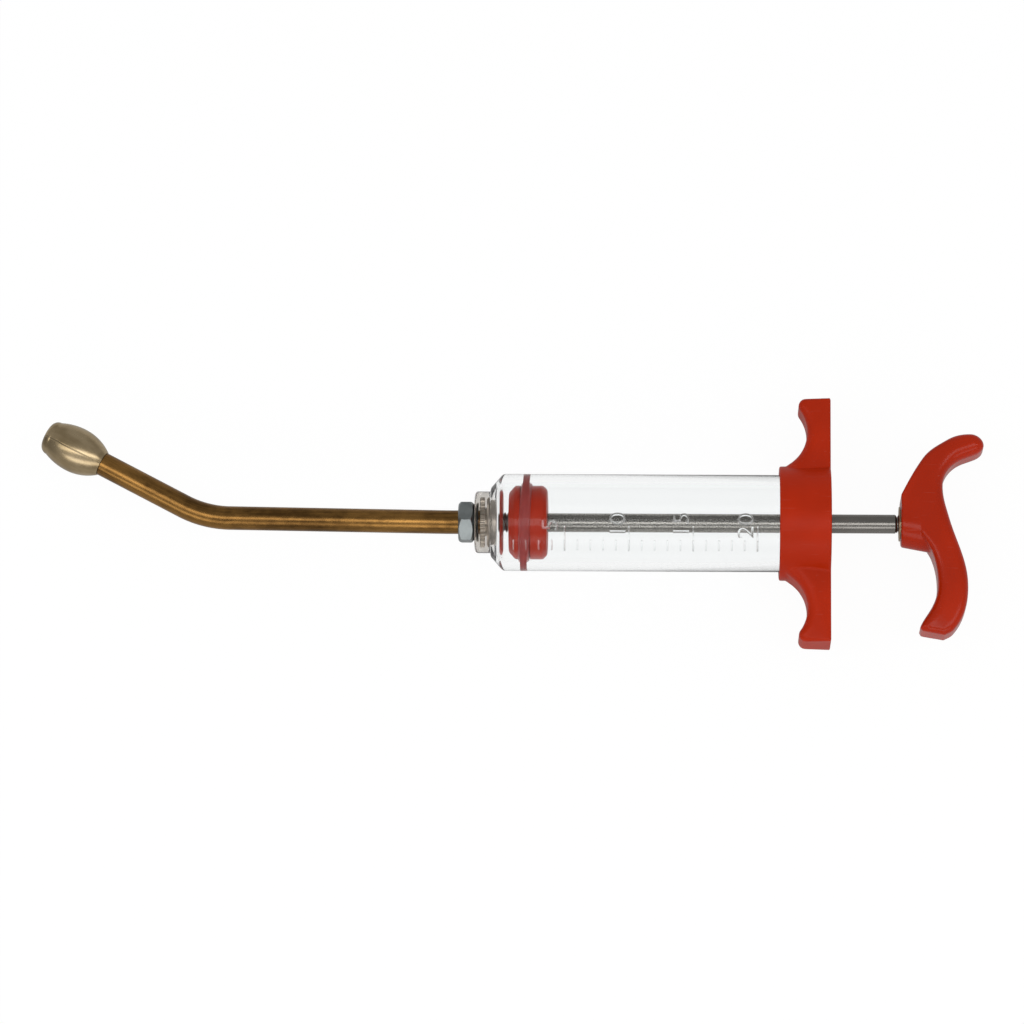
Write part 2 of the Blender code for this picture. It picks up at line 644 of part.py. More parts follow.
def palm_points():
    """Smooth outline of the palm handle: x, y and edge radius in metres."""
    drawn = []
    for i, (x0, y0, _, leave, edge0) in enumerate(PALM_OUTLINE):
        x1, y1, arrive, _, edge1 = PALM_OUTLINE[(i + 1) % len(PALM_OUTLINE)]
        start, end = Vector((x0, y0, 0)), Vector((x1, y1, 0))
        reach = (end - start).length * BEZIER_REACH
        leave, arrive = radians(leave), radians(arrive)
        knob0 = start + Vector((cos(leave), sin(leave), 0)) * reach
        knob1 = end - Vector((cos(arrive), sin(arrive), 0)) * reach
        curve = interpolate_bezier(start, knob0, knob1, end, SPAN_POINTS + 1)
        for j, point in enumerate(curve[:-1]):
            drawn.append((point.x, point.y, edge0 + (edge1 - edge0) * j / SPAN_POINTS))
    across = PALM_BREADTH / (max(p[0] for p in drawn) - min(p[0] for p in drawn))
    along = PALM_HEIGHT / (max(p[1] for p in drawn) - min(p[1] for p in drawn))
    return [(x * across, y * along, edge * PALM_EDGE_RADIUS) for x, y, edge in drawn]


def palm_depth_at(share):
    """Half the plate's depth: full at the rod, thinner towards both horns."""
    return PALM_DEPTH / 2 * (1 - (1 - PALM_TIP_DEPTH_SHARE) * share ** 2)


def inward_normals(points):
    """Unit vectors in the XY plane that point into an anticlockwise outline."""
    normals = []
    for i in range(len(points)):
        ahead = points[(i + 1) % len(points)]
        behind = points[i - 1]
        along = Vector((ahead[0] - behind[0], ahead[1] - behind[1])).normalized()
        normals.append(Vector((-along.y, along.x)))
    return normals


def make_palm_handle(parent):
    """Plate with rounded edges, joined to the boss and bored for its insert."""
    points = palm_points()
    normals = inward_normals(points)
    reach = max(abs(y) for _, y, _ in points)
    rings = []
    for side in (-1, 1):
        turns = [pi / 2 * i / EDGE_STEPS for i in range(EDGE_STEPS + 1)]
        if side < 0:
            turns.reverse()
        for turn in turns:
            ring = []
            for (x, y, edge), normal in zip(points, normals):
                inset = edge * (1 - cos(turn))
                height = palm_depth_at(abs(y) / reach) - edge * (1 - sin(turn))
                ring.append((x + normal.x * inset, y + normal.y * inset, side * height))
            rings.append(ring)
    handle = add_object("palm_handle", loft(rings), parent, BOSS_FACE)

    # The boss is round at its face, and drops towards the lower horn behind it
    face = BOSS_FACE_DIAMETER / 2
    edge = BOSS_EDGE_CHAMFER
    sections = ((0, face - edge, 0), (edge, face, 0), (BOSS_LENGTH, face, BOSS_DROP))
    turns = [2 * pi * i / SEGMENTS for i in range(SEGMENTS)]
    boss_rings = []
    for x, radius, drop in sections:
        height = min(radius, PALM_DEPTH / 2 - BOSS_BELOW_PLATE_FACE) if drop else radius
        boss_rings.append([(x, (radius + drop / 2) * cos(t) - drop / 2, height * sin(t))
                           for t in turns])
    boss = add_object("palm_handle_boss", loft(boss_rings), parent, BOSS_FACE)
    combine(handle, helper(boss), 'UNION')

    pocket_profile = [
        (-CUTTER_OVERSHOOT, 0),
        (-CUTTER_OVERSHOOT, HANDLE_POCKET_RADIUS),
        (HANDLE_POCKET_DEPTH, HANDLE_POCKET_RADIUS),
        (HANDLE_POCKET_DEPTH, 0),
    ]
    pocket = add_object("palm_handle_pocket", turned(pocket_profile, closed=False),
                        parent, BOSS_FACE)
    combine(handle, helper(pocket), 'DIFFERENCE')
    finish(handle, linear(172, 40, 16), 0.3)


def make_handle_insert(parent):
    body = HANDLE_INSERT_DIAMETER / 2
    flange = HANDLE_FLANGE_DIAMETER / 2
    hole = ROD_REAR_RADIUS + FIT_GAP
    length = HANDLE_FLANGE_THICKNESS + HANDLE_INSERT_LENGTH
    profile = [
        (0, hole),
        (0, flange),
        (HANDLE_FLANGE_THICKNESS, flange),
        (HANDLE_FLANGE_THICKNESS, body),
        (length, body),
        (length, hole),
    ]
    insert = add_object("handle_insert", turned(profile, SMALL_SEGMENTS), parent, FLANGE_FRONT)
    finish(insert, linear(190, 150, 90), 0.35, metallic=1.0)


def add_frame(name, parent=None):
    """Empty on the barrel's axis that carries the pieces that move together."""
    frame = bpy.data.objects.new(name, None)
    frame.parent = parent
    bpy.context.collection.objects.link(frame)
    return frame


def piece_corners(pieces):
    """Lowest and highest corners of the pieces as the viewport shows them."""
    depsgraph = bpy.context.evaluated_depsgraph_get()
    corners = []
    for piece in pieces:
        shown = piece.evaluated_get(depsgraph)
        corners += [shown.matrix_world @ vertex.co for vertex in shown.data.vertices]
    low = Vector(min(corner[i] for corner in corners) for i in range(3))
    high = Vector(max(corner[i] for corner in corners) for i in range(3))
    return low, high


def main():
    for obj in list(bpy.data.objects):
        bpy.data.objects.remove(obj, do_unlink=True)

    syringe = add_frame("syringe_frame")
    nozzle = add_frame("nozzle_frame", syringe)
    plunger = add_frame("plunger_frame", syringe)

    make_nozzle_olive(nozzle)
    make_nozzle_tube(nozzle)
    make_lock_nut(nozzle)
    make_gasket(syringe)
    make_neck_insert(syringe)
    make_barrel(syringe)
    make_piston_front(plunger)
    make_piston_o_ring(plunger)
    make_piston_rear(plunger)
    make_piston_rod(plunger)
    make_finger_grip(syringe)
    make_palm_handle(plunger)
    make_handle_insert(plunger)

    # The origin is under the middle of the whole syringe
    pieces = [obj for obj in bpy.data.objects if obj.type == 'MESH' and not obj.hide_render]
    low, high = piece_corners(pieces)
    syringe.location = (-(low.x + high.x) / 2, -(low.y + high.y) / 2, -low.z)
    bpy.context.view_layer.update()

    centre, angle = nozzle_shoulder()
    tip = centre + Vector((-cos(angle), sin(angle))) * (SEAT_GAP + OLIVE_LENGTH)
    size = high - low
    shift = syringe.location
    print(f"size {size.x / MM:.2f} x {size.y / MM:.2f} x {size.z / MM:.2f} mm")
    print(f"axis at y {shift.y / MM:.3f}, z {shift.z / MM:.3f}; bore end at x {shift.x / MM:.3f}")
    print(f"plunger travel {-TRAVEL_TO_ZERO / MM:.2f} to {TRAVEL_TO_FULL / MM:.2f} mm")
    print(f"grip rear face at x {(GRIP_REAR + shift.x) / MM:.3f}")
    print(f"outlet at x {(TUBE_REAR + tip.x + shift.x) / MM:.3f}, y {tip.y / MM:.3f},"
          f" rise {degrees(angle):.2f} degrees")


main()
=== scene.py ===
"""Dosing syringe for livestock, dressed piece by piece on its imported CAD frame.

Every length is in metres in the frame's own coordinates: +X runs along the barrel to the
palm handle, the wings lie in the XY plane, and +Z is up.
"""
import json
from math import asin, atan2, cos, pi, radians, sin, sqrt, tan
from typing import NamedTuple

import bmesh
import bpy
from bpy.props import FloatProperty, FloatVectorProperty, PointerProperty
from bpy.types import Operator, Panel, PropertyGroup
from mathutils import Matrix, Vector


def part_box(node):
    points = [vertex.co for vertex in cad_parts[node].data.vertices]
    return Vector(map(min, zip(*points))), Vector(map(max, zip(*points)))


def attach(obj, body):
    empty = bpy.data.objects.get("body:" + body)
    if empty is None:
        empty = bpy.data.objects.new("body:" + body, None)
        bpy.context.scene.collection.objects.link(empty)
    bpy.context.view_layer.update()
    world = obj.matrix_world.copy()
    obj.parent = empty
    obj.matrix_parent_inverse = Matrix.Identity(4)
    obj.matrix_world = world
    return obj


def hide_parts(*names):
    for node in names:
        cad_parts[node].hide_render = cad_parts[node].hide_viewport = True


bl_info = {
    "name": "Dosing Syringe",
    "version": (1, 0, 0),
    "blender": (4, 5, 0),
    "location": "View3D > Sidebar > Dosing Syringe",
    "description": "Builds a 20 ml livestock dosing syringe on its CAD frame",
    "category": "Add Mesh",
}

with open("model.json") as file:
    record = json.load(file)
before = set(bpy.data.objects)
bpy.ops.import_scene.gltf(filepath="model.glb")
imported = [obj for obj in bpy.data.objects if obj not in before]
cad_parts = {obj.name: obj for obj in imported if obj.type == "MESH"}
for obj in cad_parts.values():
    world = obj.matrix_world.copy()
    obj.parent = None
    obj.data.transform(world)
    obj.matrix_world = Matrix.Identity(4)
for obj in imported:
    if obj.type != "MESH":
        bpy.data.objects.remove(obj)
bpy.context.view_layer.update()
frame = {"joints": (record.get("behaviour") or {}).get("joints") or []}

MM = 0.001
TURN_SEGMENTS = 128
SMALL_SEGMENTS = 96
CORNER_SEGMENTS = 6
THREAD_STEPS = 48
ROUNDING_STEPS = 8
SMOOTH_ANGLE = radians(35)
MERGE_DISTANCE = 0.001 * MM
NEAR = 0.01 * MM

# Clearance round pieces that fit into each other, and behind hidden ends
CLOSE_FIT = 0.1 * MM
LOOSE_FIT = 0.2 * MM

# One turn of a thread: shares of its pitch, and whether it is at its crest there
THREAD_FORM = ((0, False), (0.15, False), (0.45, True), (0.6, True), (0.9, False), (1, False))

# The barrel's axis and the end face of its bore, as the plunger's joint gives them
AXIS_POINT = Vector(next(j for j in frame["joints"] if j["name"] == "plunger_turn")["pos_m"])


def linear(red, green, blue):
    """Scene-linear colour of an 8-bit sRGB one."""
    def channel(value):
        value /= 255
        return value / 12.92 if value <= 0.04045 else ((value + 0.055) / 1.055) ** 2.4
    return channel(red), channel(green), channel(blue)


def size(name, description, millimetres):
    """Property for a length, given in millimetres."""
    return FloatProperty(name=name, description=description, default=millimetres * MM,
                         min=0.0, precision=5, subtype='DISTANCE', unit='LENGTH')


def turn_angle(name, description, degrees_):
    """Property for an angle, given in degrees."""
    return FloatProperty(name=name, description=description, default=radians(degrees_),
                         subtype='ANGLE', unit='ROTATION')


def tint(name, description, red, green, blue):
    """Property for a colour, given as 8-bit sRGB."""
    return FloatVectorProperty(name=name, description=description, size=3, min=0.0, max=1.0,
                               default=linear(red, green, blue), subtype='COLOR')


def span(node):
    """Lowest and highest x of a CAD node, from the bore's end face."""
    low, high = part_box(node)
    return low.x - AXIS_POINT.x, high.x - AXIS_POINT.x


def node_radius(node):
    """Radius of a CAD node that is turned about the barrel's axis."""
    low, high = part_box(node)
    return (high.z - low.z) / 2


# Shader building

class Channel:
    """A number or socket in a tree of nodes, on which Python's operators add Math nodes."""

    def __init__(self, shading, value):
        self.shading = shading
        self.value = value

    def __add__(self, other):
        return self.shading.maths('ADD', self, other)

    def __radd__(self, other):
        return self.shading.maths('ADD', other, self)

    def __sub__(self, other):
        return self.shading.maths('SUBTRACT', self, other)

    def __rsub__(self, other):
        return self.shading.maths('SUBTRACT', other, self)

    def __mul__(self, other):
        return self.shading.maths('MULTIPLY', self, other)

    def __rmul__(self, other):
        return self.shading.maths('MULTIPLY', other, self)


class Shading:
    """The shader nodes of a material or of the world."""

    def __init__(self, tree):
        self.tree = tree

    def feed(self, node, socket, value):
        """Link or set one input of a node."""
        target = node.inputs[socket]
        if isinstance(value, Channel):
            value = value.value
        if isinstance(value, bpy.types.NodeSocket):
            self.tree.links.new(value, target)
        elif hasattr(value, "__len__") and target.type == 'RGBA' and len(value) == 3:
            target.default_value = (*value, 1.0)
        else:
            target.default_value = value

    def node(self, kind, sockets, output=0, **settings):
        """Add a node with its settings, then feed its inputs, and return an output."""
        made = self.tree.nodes.new(kind)
        for setting, value in settings.items():
            setattr(made, setting, value)
        for socket, value in sockets.items():
            self.feed(made, socket, value)
        return Channel(self, made.outputs[output])

    def maths(self, operation, first, second=0.0):
        return self.node("ShaderNodeMath", {0: first, 1: second}, operation=operation)

    def ray(self, kind):
        """1 on rays of a kind, such as Camera or Glossy, and 0 on others."""
        return self.node("ShaderNodeLightPath", {}, "Is %s Ray" % kind)

    def axes(self, vector):
        """The x, y and z of a vector."""
        return [self.node("ShaderNodeSeparateXYZ", {"Vector": vector}, axis) for axis in "XYZ"]

    def place(self, stretch=(1, 1, 1), attribute=None):
        """Object coordinates, or a stored attribute, stretched for a texture."""
        if attribute:
            source = self.node("ShaderNodeAttribute", {}, "Vector", attribute_name=attribute)
        else:
            source = self.node("ShaderNodeTexCoord", {}, "Object")
        return self.node("ShaderNodeMapping", {"Vector": source, "Scale": stretch})

    def noise(self, place, scale, detail, roughness=0.5):
        return self.node("ShaderNodeTexNoise", {"Vector": place, "Scale": scale,
                                                "Detail": detail, "Roughness": roughness})

    def band(self, value, low, high, under=0.0, over=1.0):
        """One value below low and another above high, smooth between them."""
        return self.node("ShaderNodeMapRange", {"Value": value, "From Min": low, "From Max": high,
                                                "To Min": under, "To Max": over},
                         interpolation_type='SMOOTHSTEP')

    def blend(self, share, first, second):
        """Mix of two colours."""
        return self.node("ShaderNodeMix", {0: share, 6: first, 7: second}, 2, data_type='RGBA')

    def bump(self, height, distance, strength=1.0):
        return self.node("ShaderNodeBump", {"Height": height, "Distance": distance,
                                            "Strength": strength})

    def overlay(self, share, below, above):
        """Mix of two shaders."""
        return self.node("ShaderNodeMixShader", {0: share, 1: below, 2: above})


class Finish(Shading):
    """One material: its nodes, and the Principled shader that they feed."""

    def __init__(self, name, **fixed):
        self.material = bpy.data.materials.new(name)
        self.material.use_nodes = True
        super().__init__(self.material.node_tree)
        self.shader = self.tree.nodes["Principled BSDF"]
        self.paint(**fixed)

    def paint(self, **sockets):
        """Feed the Principled shader."""
        for socket, value in sockets.items():
            self.feed(self.shader, socket.replace("_", " "), value)
        return self.material

    def cover(self, share, shader):
        """Show another shader than the Principled one, by a share."""
        shown = self.overlay(share, self.shader.outputs[0], shader)
        self.feed(self.tree.nodes["Material Output"], "Surface", shown)
        return self.material


def darker(colour, share):
    """A colour with each channel multiplied by a share."""
    return tuple(channel * share for channel in colour)


def red_moulding_finish(name, colour, dull, shine):
    """Satin moulded plastic: faint flow marks, fine grain and hairline scratches."""
    scratch_colour = (0.75, 0.45, 0.38)
    finish = Finish(name, Specular_IOR_Level=shine)
    clouds = finish.noise(finish.place(), scale=55, detail=3)
    flow = finish.noise(finish.place((1, 0.25, 1)), scale=320, detail=2)
    strokes = finish.noise(finish.place((0.06, 1, 1)), scale=2600, detail=1)
    hairlines = finish.band(strokes, 0.68, 0.76)
    grain = finish.noise(finish.place(), scale=1400, detail=2)
    deep = finish.band(clouds, 0.36, 0.66)
    base = finish.blend(deep, darker(colour, 0.86), colour)
    base = finish.blend(hairlines * 0.03, base, scratch_colour)
    return finish.paint(
        Base_Color=base,
        Roughness=flow * 0.10 + hairlines * 0.12 + dull,
        Normal=finish.bump(grain * 0.6 + flow * 0.4, distance=0.006 * MM),
    )


def clear_moulding_finish(name, colour, shine, neck_frost=0.0, dull=0.0):
    """Clear polycarbonate, hazy at its neck, that lets the lamps' light through. Its colour is
    greyed at the neck, and faintly at the shoulder, as painted shade.
    """
    # Painted shade: the grey that the neck's colour turns to, standing in for the darker
    # reflections seen there
    neck_shade_colour = (0.55, 0.52, 0.48)
    neck_end = AXIS_POINT.x - 2.6 * MM
    neck_fade = 0.3 * MM
    shoulder_middle = AXIS_POINT.x
    shoulder_fade = 0.6 * MM
    finish = Finish(name, Base_Color=colour, IOR=1.585, Transmission_Weight=1.0,
                    Specular_Tint=(shine, shine, shine))
    wear = finish.noise(finish.place((0.2, 1, 1)), scale=900, detail=2)
    along = finish.node("ShaderNodeSeparateXYZ", {"Vector": finish.place()}, "X")
    neck = 1.0 - finish.band(along, neck_end - neck_fade, neck_end + neck_fade)
    shoulder = 1.0 - finish.band(along, shoulder_middle - shoulder_fade,
                                 shoulder_middle + shoulder_fade)
    # Rougher at the neck as real frost. The colour is greyed there, and faintly at the shoulder,
    # as painted shade
    frost_and_painted_shade = neck * 0.9 + shoulder * 0.05
    finish.paint(
        Base_Color=finish.blend(frost_and_painted_shade, colour, neck_shade_colour),
        Roughness=finish.band(wear, 0.5, 0.8) * 0.03 + frost_and_painted_shade * neck_frost + dull,
    )
    opening = finish.node("ShaderNodeBsdfTransparent", {"Color": colour})
    return finish.cover(finish.ray("Shadow"), opening)


def tube_brass_finish(name, dark, gold):
    """Old drawn brass: long streaks and brown spots under a satin sheen."""
    finish = Finish(name, Metallic=1.0)
    streaks = finish.noise(finish.place((0.03, 1, 1), "along_tube"), scale=2600, detail=3)
    spots = finish.noise(finish.place((0.5, 1, 1), "along_tube"), scale=700, detail=4,
                         roughness=0.65)
    clouds = finish.noise(finish.place((0.35, 1, 1), "along_tube"), scale=170, detail=3)
    worn = finish.band(streaks * 0.2 + spots * 0.3 + clouds * 0.5, 0.36, 0.66)
    brown = finish.band(spots, 0.60, 0.74)
    base = finish.blend(worn, dark, gold)
    base = finish.blend(brown * 0.5, base, darker(dark, 0.55))
    return finish.paint(
        Base_Color=base,
        Roughness=streaks * 0.06 + brown * 0.12 + 0.24,
        Normal=finish.bump(spots, distance=0.0025 * MM),
    )


def olive_brass_finish(name, pale, shade, seam_angle):
    """Pale brass with fine turning marks, a seam along the olive, and a painted dark reflection
    beside it towards the tip.
    """
    seam_edges = (0.012, 0.04)
    dark_reflection_start = 0.15
    dark_reflection_fade = (0.45, 1.1)
    dark_reflection_reach = (7.5 * MM, 12.5 * MM)
    finish = Finish(name, Metallic=1.0)
    rings = finish.noise(finish.place((1, 0.02, 0.02), "on_olive"), scale=4200, detail=2)
    strokes = finish.noise(finish.place((0.12, 1, 1), "on_olive"), scale=420, detail=3)
    clouds = finish.noise(finish.place(), scale=190, detail=3)
    base = finish.blend(finish.band(clouds * 0.5 + strokes * 0.5, 0.35, 0.65), shade, pale)
    ahead, side, up = finish.axes(finish.place(attribute="on_olive"))
    around = finish.maths('ARCTAN2', side, up) * -1.0
    off_seam = finish.maths('ABSOLUTE', around - seam_angle)
    seam = 1.0 - finish.band(off_seam, *seam_edges)
    # Painted dark reflection: darker below the seam towards the tip, standing in for something
    # dark mirrored there
    below = finish.band(around, seam_angle, seam_angle + dark_reflection_start)
    fading = 1.0 - finish.band(around, *(seam_angle + edge for edge in dark_reflection_fade))
    painted_dark_reflection = finish.band(ahead * -1.0, *dark_reflection_reach) * below * fading
    # The seam darkens as a dark joint, and the painted dark reflection darkens the brass below it
    base = finish.blend(seam * 0.5 + painted_dark_reflection * 0.55, base, darker(shade, 0.3))
    return finish.paint(
        Base_Color=base,
        Roughness=rings * 0.05 + strokes * 0.12 + 0.16,
        Normal=finish.bump(strokes * 0.4 + rings * 0.1 - seam, distance=0.06 * MM,
                           strength=0.5),
    )


def drawn_steel_finish(name, colour):
    """Drawn rod: long scratches and a speckled, lightly worn surface."""
    finish = Finish(name, Metallic=1.0)
    scratches = finish.noise(finish.place((0.04, 1, 1)), scale=3600, detail=3)
    speckle = finish.noise(finish.place((0.6, 1, 1)), scale=2400, detail=3, roughness=0.7)
    clouds = finish.noise(finish.place((0.25, 1, 1)), scale=260, detail=3)
    base = finish.blend(finish.band(clouds, 0.3, 0.7), darker(colour, 0.78), colour)
    return finish.paint(
        Base_Color=base,
        Roughness=0.14 + scratches * 0.16 + finish.band(speckle, 0.5, 0.7) * 0.14,
        Normal=finish.bump(scratches * 0.4 + speckle * 0.6, distance=0.003 * MM),
    )


def plated_finish(name, colour, dull):
    """Plated or turned small part: cloudy plating with small scratches."""
    finish = Finish(name, Metallic=1.0)
    clouds = finish.noise(finish.place(), scale=420, detail=3)
    scratches = finish.noise(finish.place((1, 0.12, 1)), scale=3000, detail=2)
    base = finish.blend(finish.band(clouds, 0.3, 0.7), darker(colour, 0.8), colour)
    return finish.paint(
        Base_Color=base,
        Roughness=dull + clouds * 0.12 + scratches * 0.10,
        Normal=finish.bump(scratches, distance=0.008 * MM),
    )


def rubber_finish(name, colour, dull):
    """Rubber with a dusty, slightly uneven surface."""
    finish = Finish(name, Specular_IOR_Level=0.35)
    dust = finish.noise(finish.place(), scale=900, detail=3)
    base = finish.blend(finish.band(dust, 0.45, 0.75) * 0.5, colour, darker(colour, 1.35))
    return finish.paint(
        Base_Color=base,
        Roughness=dull + dust * 0.15,
        Normal=finish.bump(dust, distance=0.01 * MM),
    )


# Modelling

def deselect_all():
    """Leave edit mode and select nothing, so that an operator acts on a new piece alone."""
    if bpy.context.object and bpy.context.object.mode == 'EDIT':
        bpy.ops.object.mode_set(mode='OBJECT')
    bpy.ops.object.select_all(action='DESELECT')


def pick(piece):
    """Select one object alone and make it the active one."""
    deselect_all()
    piece.select_set(True)
    bpy.context.view_layer.objects.active = piece


def name_active(name):
    """Name the object that an operator has just added."""
    piece = bpy.context.object
    piece.name = piece.data.name = name
    return piece


def edit():
    """Edit the active object by its vertices, with all of it selected."""
    bpy.ops.object.mode_set(mode='EDIT')
    bpy.context.tool_settings.mesh_select_mode = (True, False, False)
    bpy.ops.mesh.select_all(action='SELECT')


def merge_doubles():
    """Merge the edited mesh's vertices that lie on each other."""
    bpy.ops.mesh.select_all(action='SELECT')
    bpy.ops.mesh.remove_doubles(threshold=MERGE_DISTANCE)


def finish_edit(move=Vector((0, 0, 0))):
    """Point all faces outwards, move the mesh to its place and leave edit mode."""
    bpy.ops.mesh.select_all(action='SELECT')
    bpy.ops.mesh.normals_make_consistent(inside=False)
    bpy.ops.transform.translate(value=move)
    bpy.ops.object.mode_set(mode='OBJECT')


def pull(move):
    """Extrude what is selected by a vector."""
    bpy.ops.mesh.extrude_region_move(TRANSFORM_OT_translate={"value": move})


def select_vertices(test):
    """Select the vertices of the edited mesh whose place passes a test."""
    mesh = bpy.context.object.data
    bm = bmesh.from_edit_mesh(mesh)
    for part in (*bm.faces, *bm.edges):
        part.select = False
    for vertex in bm.verts:
        vertex.select = bool(test(vertex.co))
    bm.select_flush(True)
    bmesh.update_edit_mesh(mesh)


def place_vertices(piece, place):
    """Move each vertex to where a rule puts it."""
    for vertex in piece.data.vertices:
        vertex.co = place(vertex.co.copy())
    piece.data.update()


def draw_profile(name, points, closed=True):
    """Draw (x, radius) points one after another as a chain. A point with a third number has
    its corner rounded by that radius."""
    deselect_all()
    bpy.ops.mesh.primitive_plane_add(size=MM)
    piece = name_active(name)
    edit()
    bpy.ops.mesh.merge(type='CENTER')
    corners = [Vector((x, 0, radius)) for x, radius, *_ in points]
    bpy.ops.transform.translate(value=corners[0])
    for before, after in zip(corners, corners[1:]):
        pull(after - before)
    if closed:
        select_vertices(lambda co: (co - corners[0]).length < NEAR
                        or (co - corners[-1]).length < NEAR)
        bpy.ops.mesh.edge_face_add()
    for corner, (_, _, *rounding) in zip(corners, points):
        if rounding:
            select_vertices(lambda co: (co - corner).length < NEAR)
            bpy.ops.mesh.bevel(offset=rounding[0], segments=CORNER_SEGMENTS, affect='VERTICES')
    return piece


def turned_piece(name, points, segments=TURN_SEGMENTS, closed=True, place=AXIS_POINT):
    """Spin a drawn profile about the X axis and move it to its place on the syringe."""
    piece = draw_profile(name, points, closed)
    bpy.ops.mesh.select_all(action='SELECT')
    bpy.ops.mesh.spin(steps=segments, angle=2 * pi, center=(0, 0, 0), axis=(1, 0, 0))
    merge_doubles()
    finish_edit(place)
    bpy.ops.object.shade_smooth_by_angle(angle=SMOOTH_ANGLE)
    return piece


def apply_modifier(piece, kind, **settings):
    """Add a modifier to a piece, set it and apply it."""
    pick(piece)
    modifier = piece.modifiers.new(kind.title(), kind)
    for setting, value in settings.items():
        setattr(modifier, setting, value)
    bpy.ops.object.modifier_apply(modifier=modifier.name)


def combine(piece, tool, operation):
    """Join another shape to a piece, or cut it away or down to it, and remove the shape."""
    apply_modifier(piece, 'BOOLEAN', operation=operation, solver='MANIFOLD', object=tool)
    bpy.data.objects.remove(tool, do_unlink=True)


def join_pieces(name, main, *others):
    """Join several shells into one object and name it."""
    pick(main)
    for other in others:
        other.select_set(True)
    bpy.ops.object.join()
    return name_active(name)


def apply_place(piece):
    """Move an object's place into its mesh."""
    pick(piece)
    bpy.ops.object.transform_apply(location=True, rotation=True, scale=True)


def thread(name, start, length, pitch, major, minor):
    """Screw thread about the barrel's axis, with both ends cut square and closed."""
    points = [(pitch * share, major if at_crest else minor) for share, at_crest in THREAD_FORM]
    piece = draw_profile(name, points, closed=False)
    bpy.ops.object.mode_set(mode='OBJECT')
    spare_turns = 3
    first_cut = pitch * spare_turns / 2
    turns = int(length / pitch) + spare_turns
    apply_modifier(piece, 'SCREW', axis='X', screw_offset=pitch, iterations=turns,
                   steps=THREAD_STEPS, render_steps=THREAD_STEPS, use_merge_vertices=True,
                   merge_threshold=MERGE_DISTANCE)
    edit()
    merge_doubles()
    bpy.ops.mesh.bisect(plane_co=(first_cut, 0, 0), plane_no=(-1, 0, 0), clear_outer=True)
    bpy.ops.mesh.select_all(action='SELECT')
    bpy.ops.mesh.bisect(plane_co=(first_cut + length, 0, 0), plane_no=(1, 0, 0),
                        clear_outer=True)
    bpy.ops.mesh.select_all(action='SELECT')
    bpy.ops.mesh.fill_holes(sides=0)
    finish_edit(AXIS_POINT + Vector((start - first_cut, 0, 0)))
    return piece


def melt_edges(piece, voxel):
    """Make a solid one even skin and round its edges a little, as moulding does."""
    apply_modifier(piece, 'REMESH', mode='VOXEL', voxel_size=voxel, use_smooth_shade=True)
    apply_modifier(piece, 'SMOOTH', factor=0.5, iterations=4)


def inward_normals(outline):
    """Unit vectors in the XY plane that point into an anticlockwise outline."""
    normals = []
    for i, behind in enumerate(outline[-1:] + outline[:-1]):
        ahead = outline[(i + 1) % len(outline)]
        along = Vector((ahead[0] - behind[0], ahead[1] - behind[1])).normalized()
        normals.append(Vector((-along.y, along.x)))
    return normals


def plate(name, outline, radii, half_depth_at):
    """Solid between two faces of one anticlockwise outline in the XY plane, with the rims
    rounded by each point's own radius. Its half depth is a function of y."""
    curve = bpy.data.curves.new(name, 'CURVE')
    curve.dimensions = '3D'
    spline = curve.splines.new('POLY')
    spline.points.add(len(outline) - 1)
    for point, (x, y) in zip(spline.points, outline):
        point.co = (x, y, 0, 1)
    spline.use_cyclic_u = True
    piece = bpy.data.objects.new(name, curve)
    bpy.context.collection.objects.link(piece)
    pick(piece)
    bpy.ops.object.convert(target='MESH')
    edit()
    bpy.ops.mesh.edge_face_add()
    bpy.ops.mesh.quads_convert_to_tris(ngon_method='BEAUTY')
    layers = 2 * ROUNDING_STEPS + 1
    for _ in range(layers):
        pull((0, 0, MM))
    finish_edit()
    rim_at = {(round(x / NEAR), round(y / NEAR)): (normal, radius)
              for (x, y), normal, radius in zip(outline, inward_normals(outline), radii)}

    def place(co):
        normal, radius = rim_at[(round(co.x / NEAR), round(co.y / NEAR))]
        layer = round(co.z / MM)
        side = -1 if layer <= ROUNDING_STEPS else 1
        turned = min(layer, layers - layer) / ROUNDING_STEPS * pi / 2
        inset = normal * radius * (1 - sin(turned))
        height = half_depth_at(co.y) - radius * (1 - cos(turned))
        return Vector((co.x + inset.x, co.y + inset.y, AXIS_POINT.z + side * height))
    place_vertices(piece, place)
    return piece


def seat(piece, material, body, slot, *nodes):
    """Give a finished piece its material, the body it rides on and the nodes it stands for."""
    piece.data.materials.clear()
    piece.data.materials.append(material)
    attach(piece, body)
    if nodes:
        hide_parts(*nodes)


# Nozzle

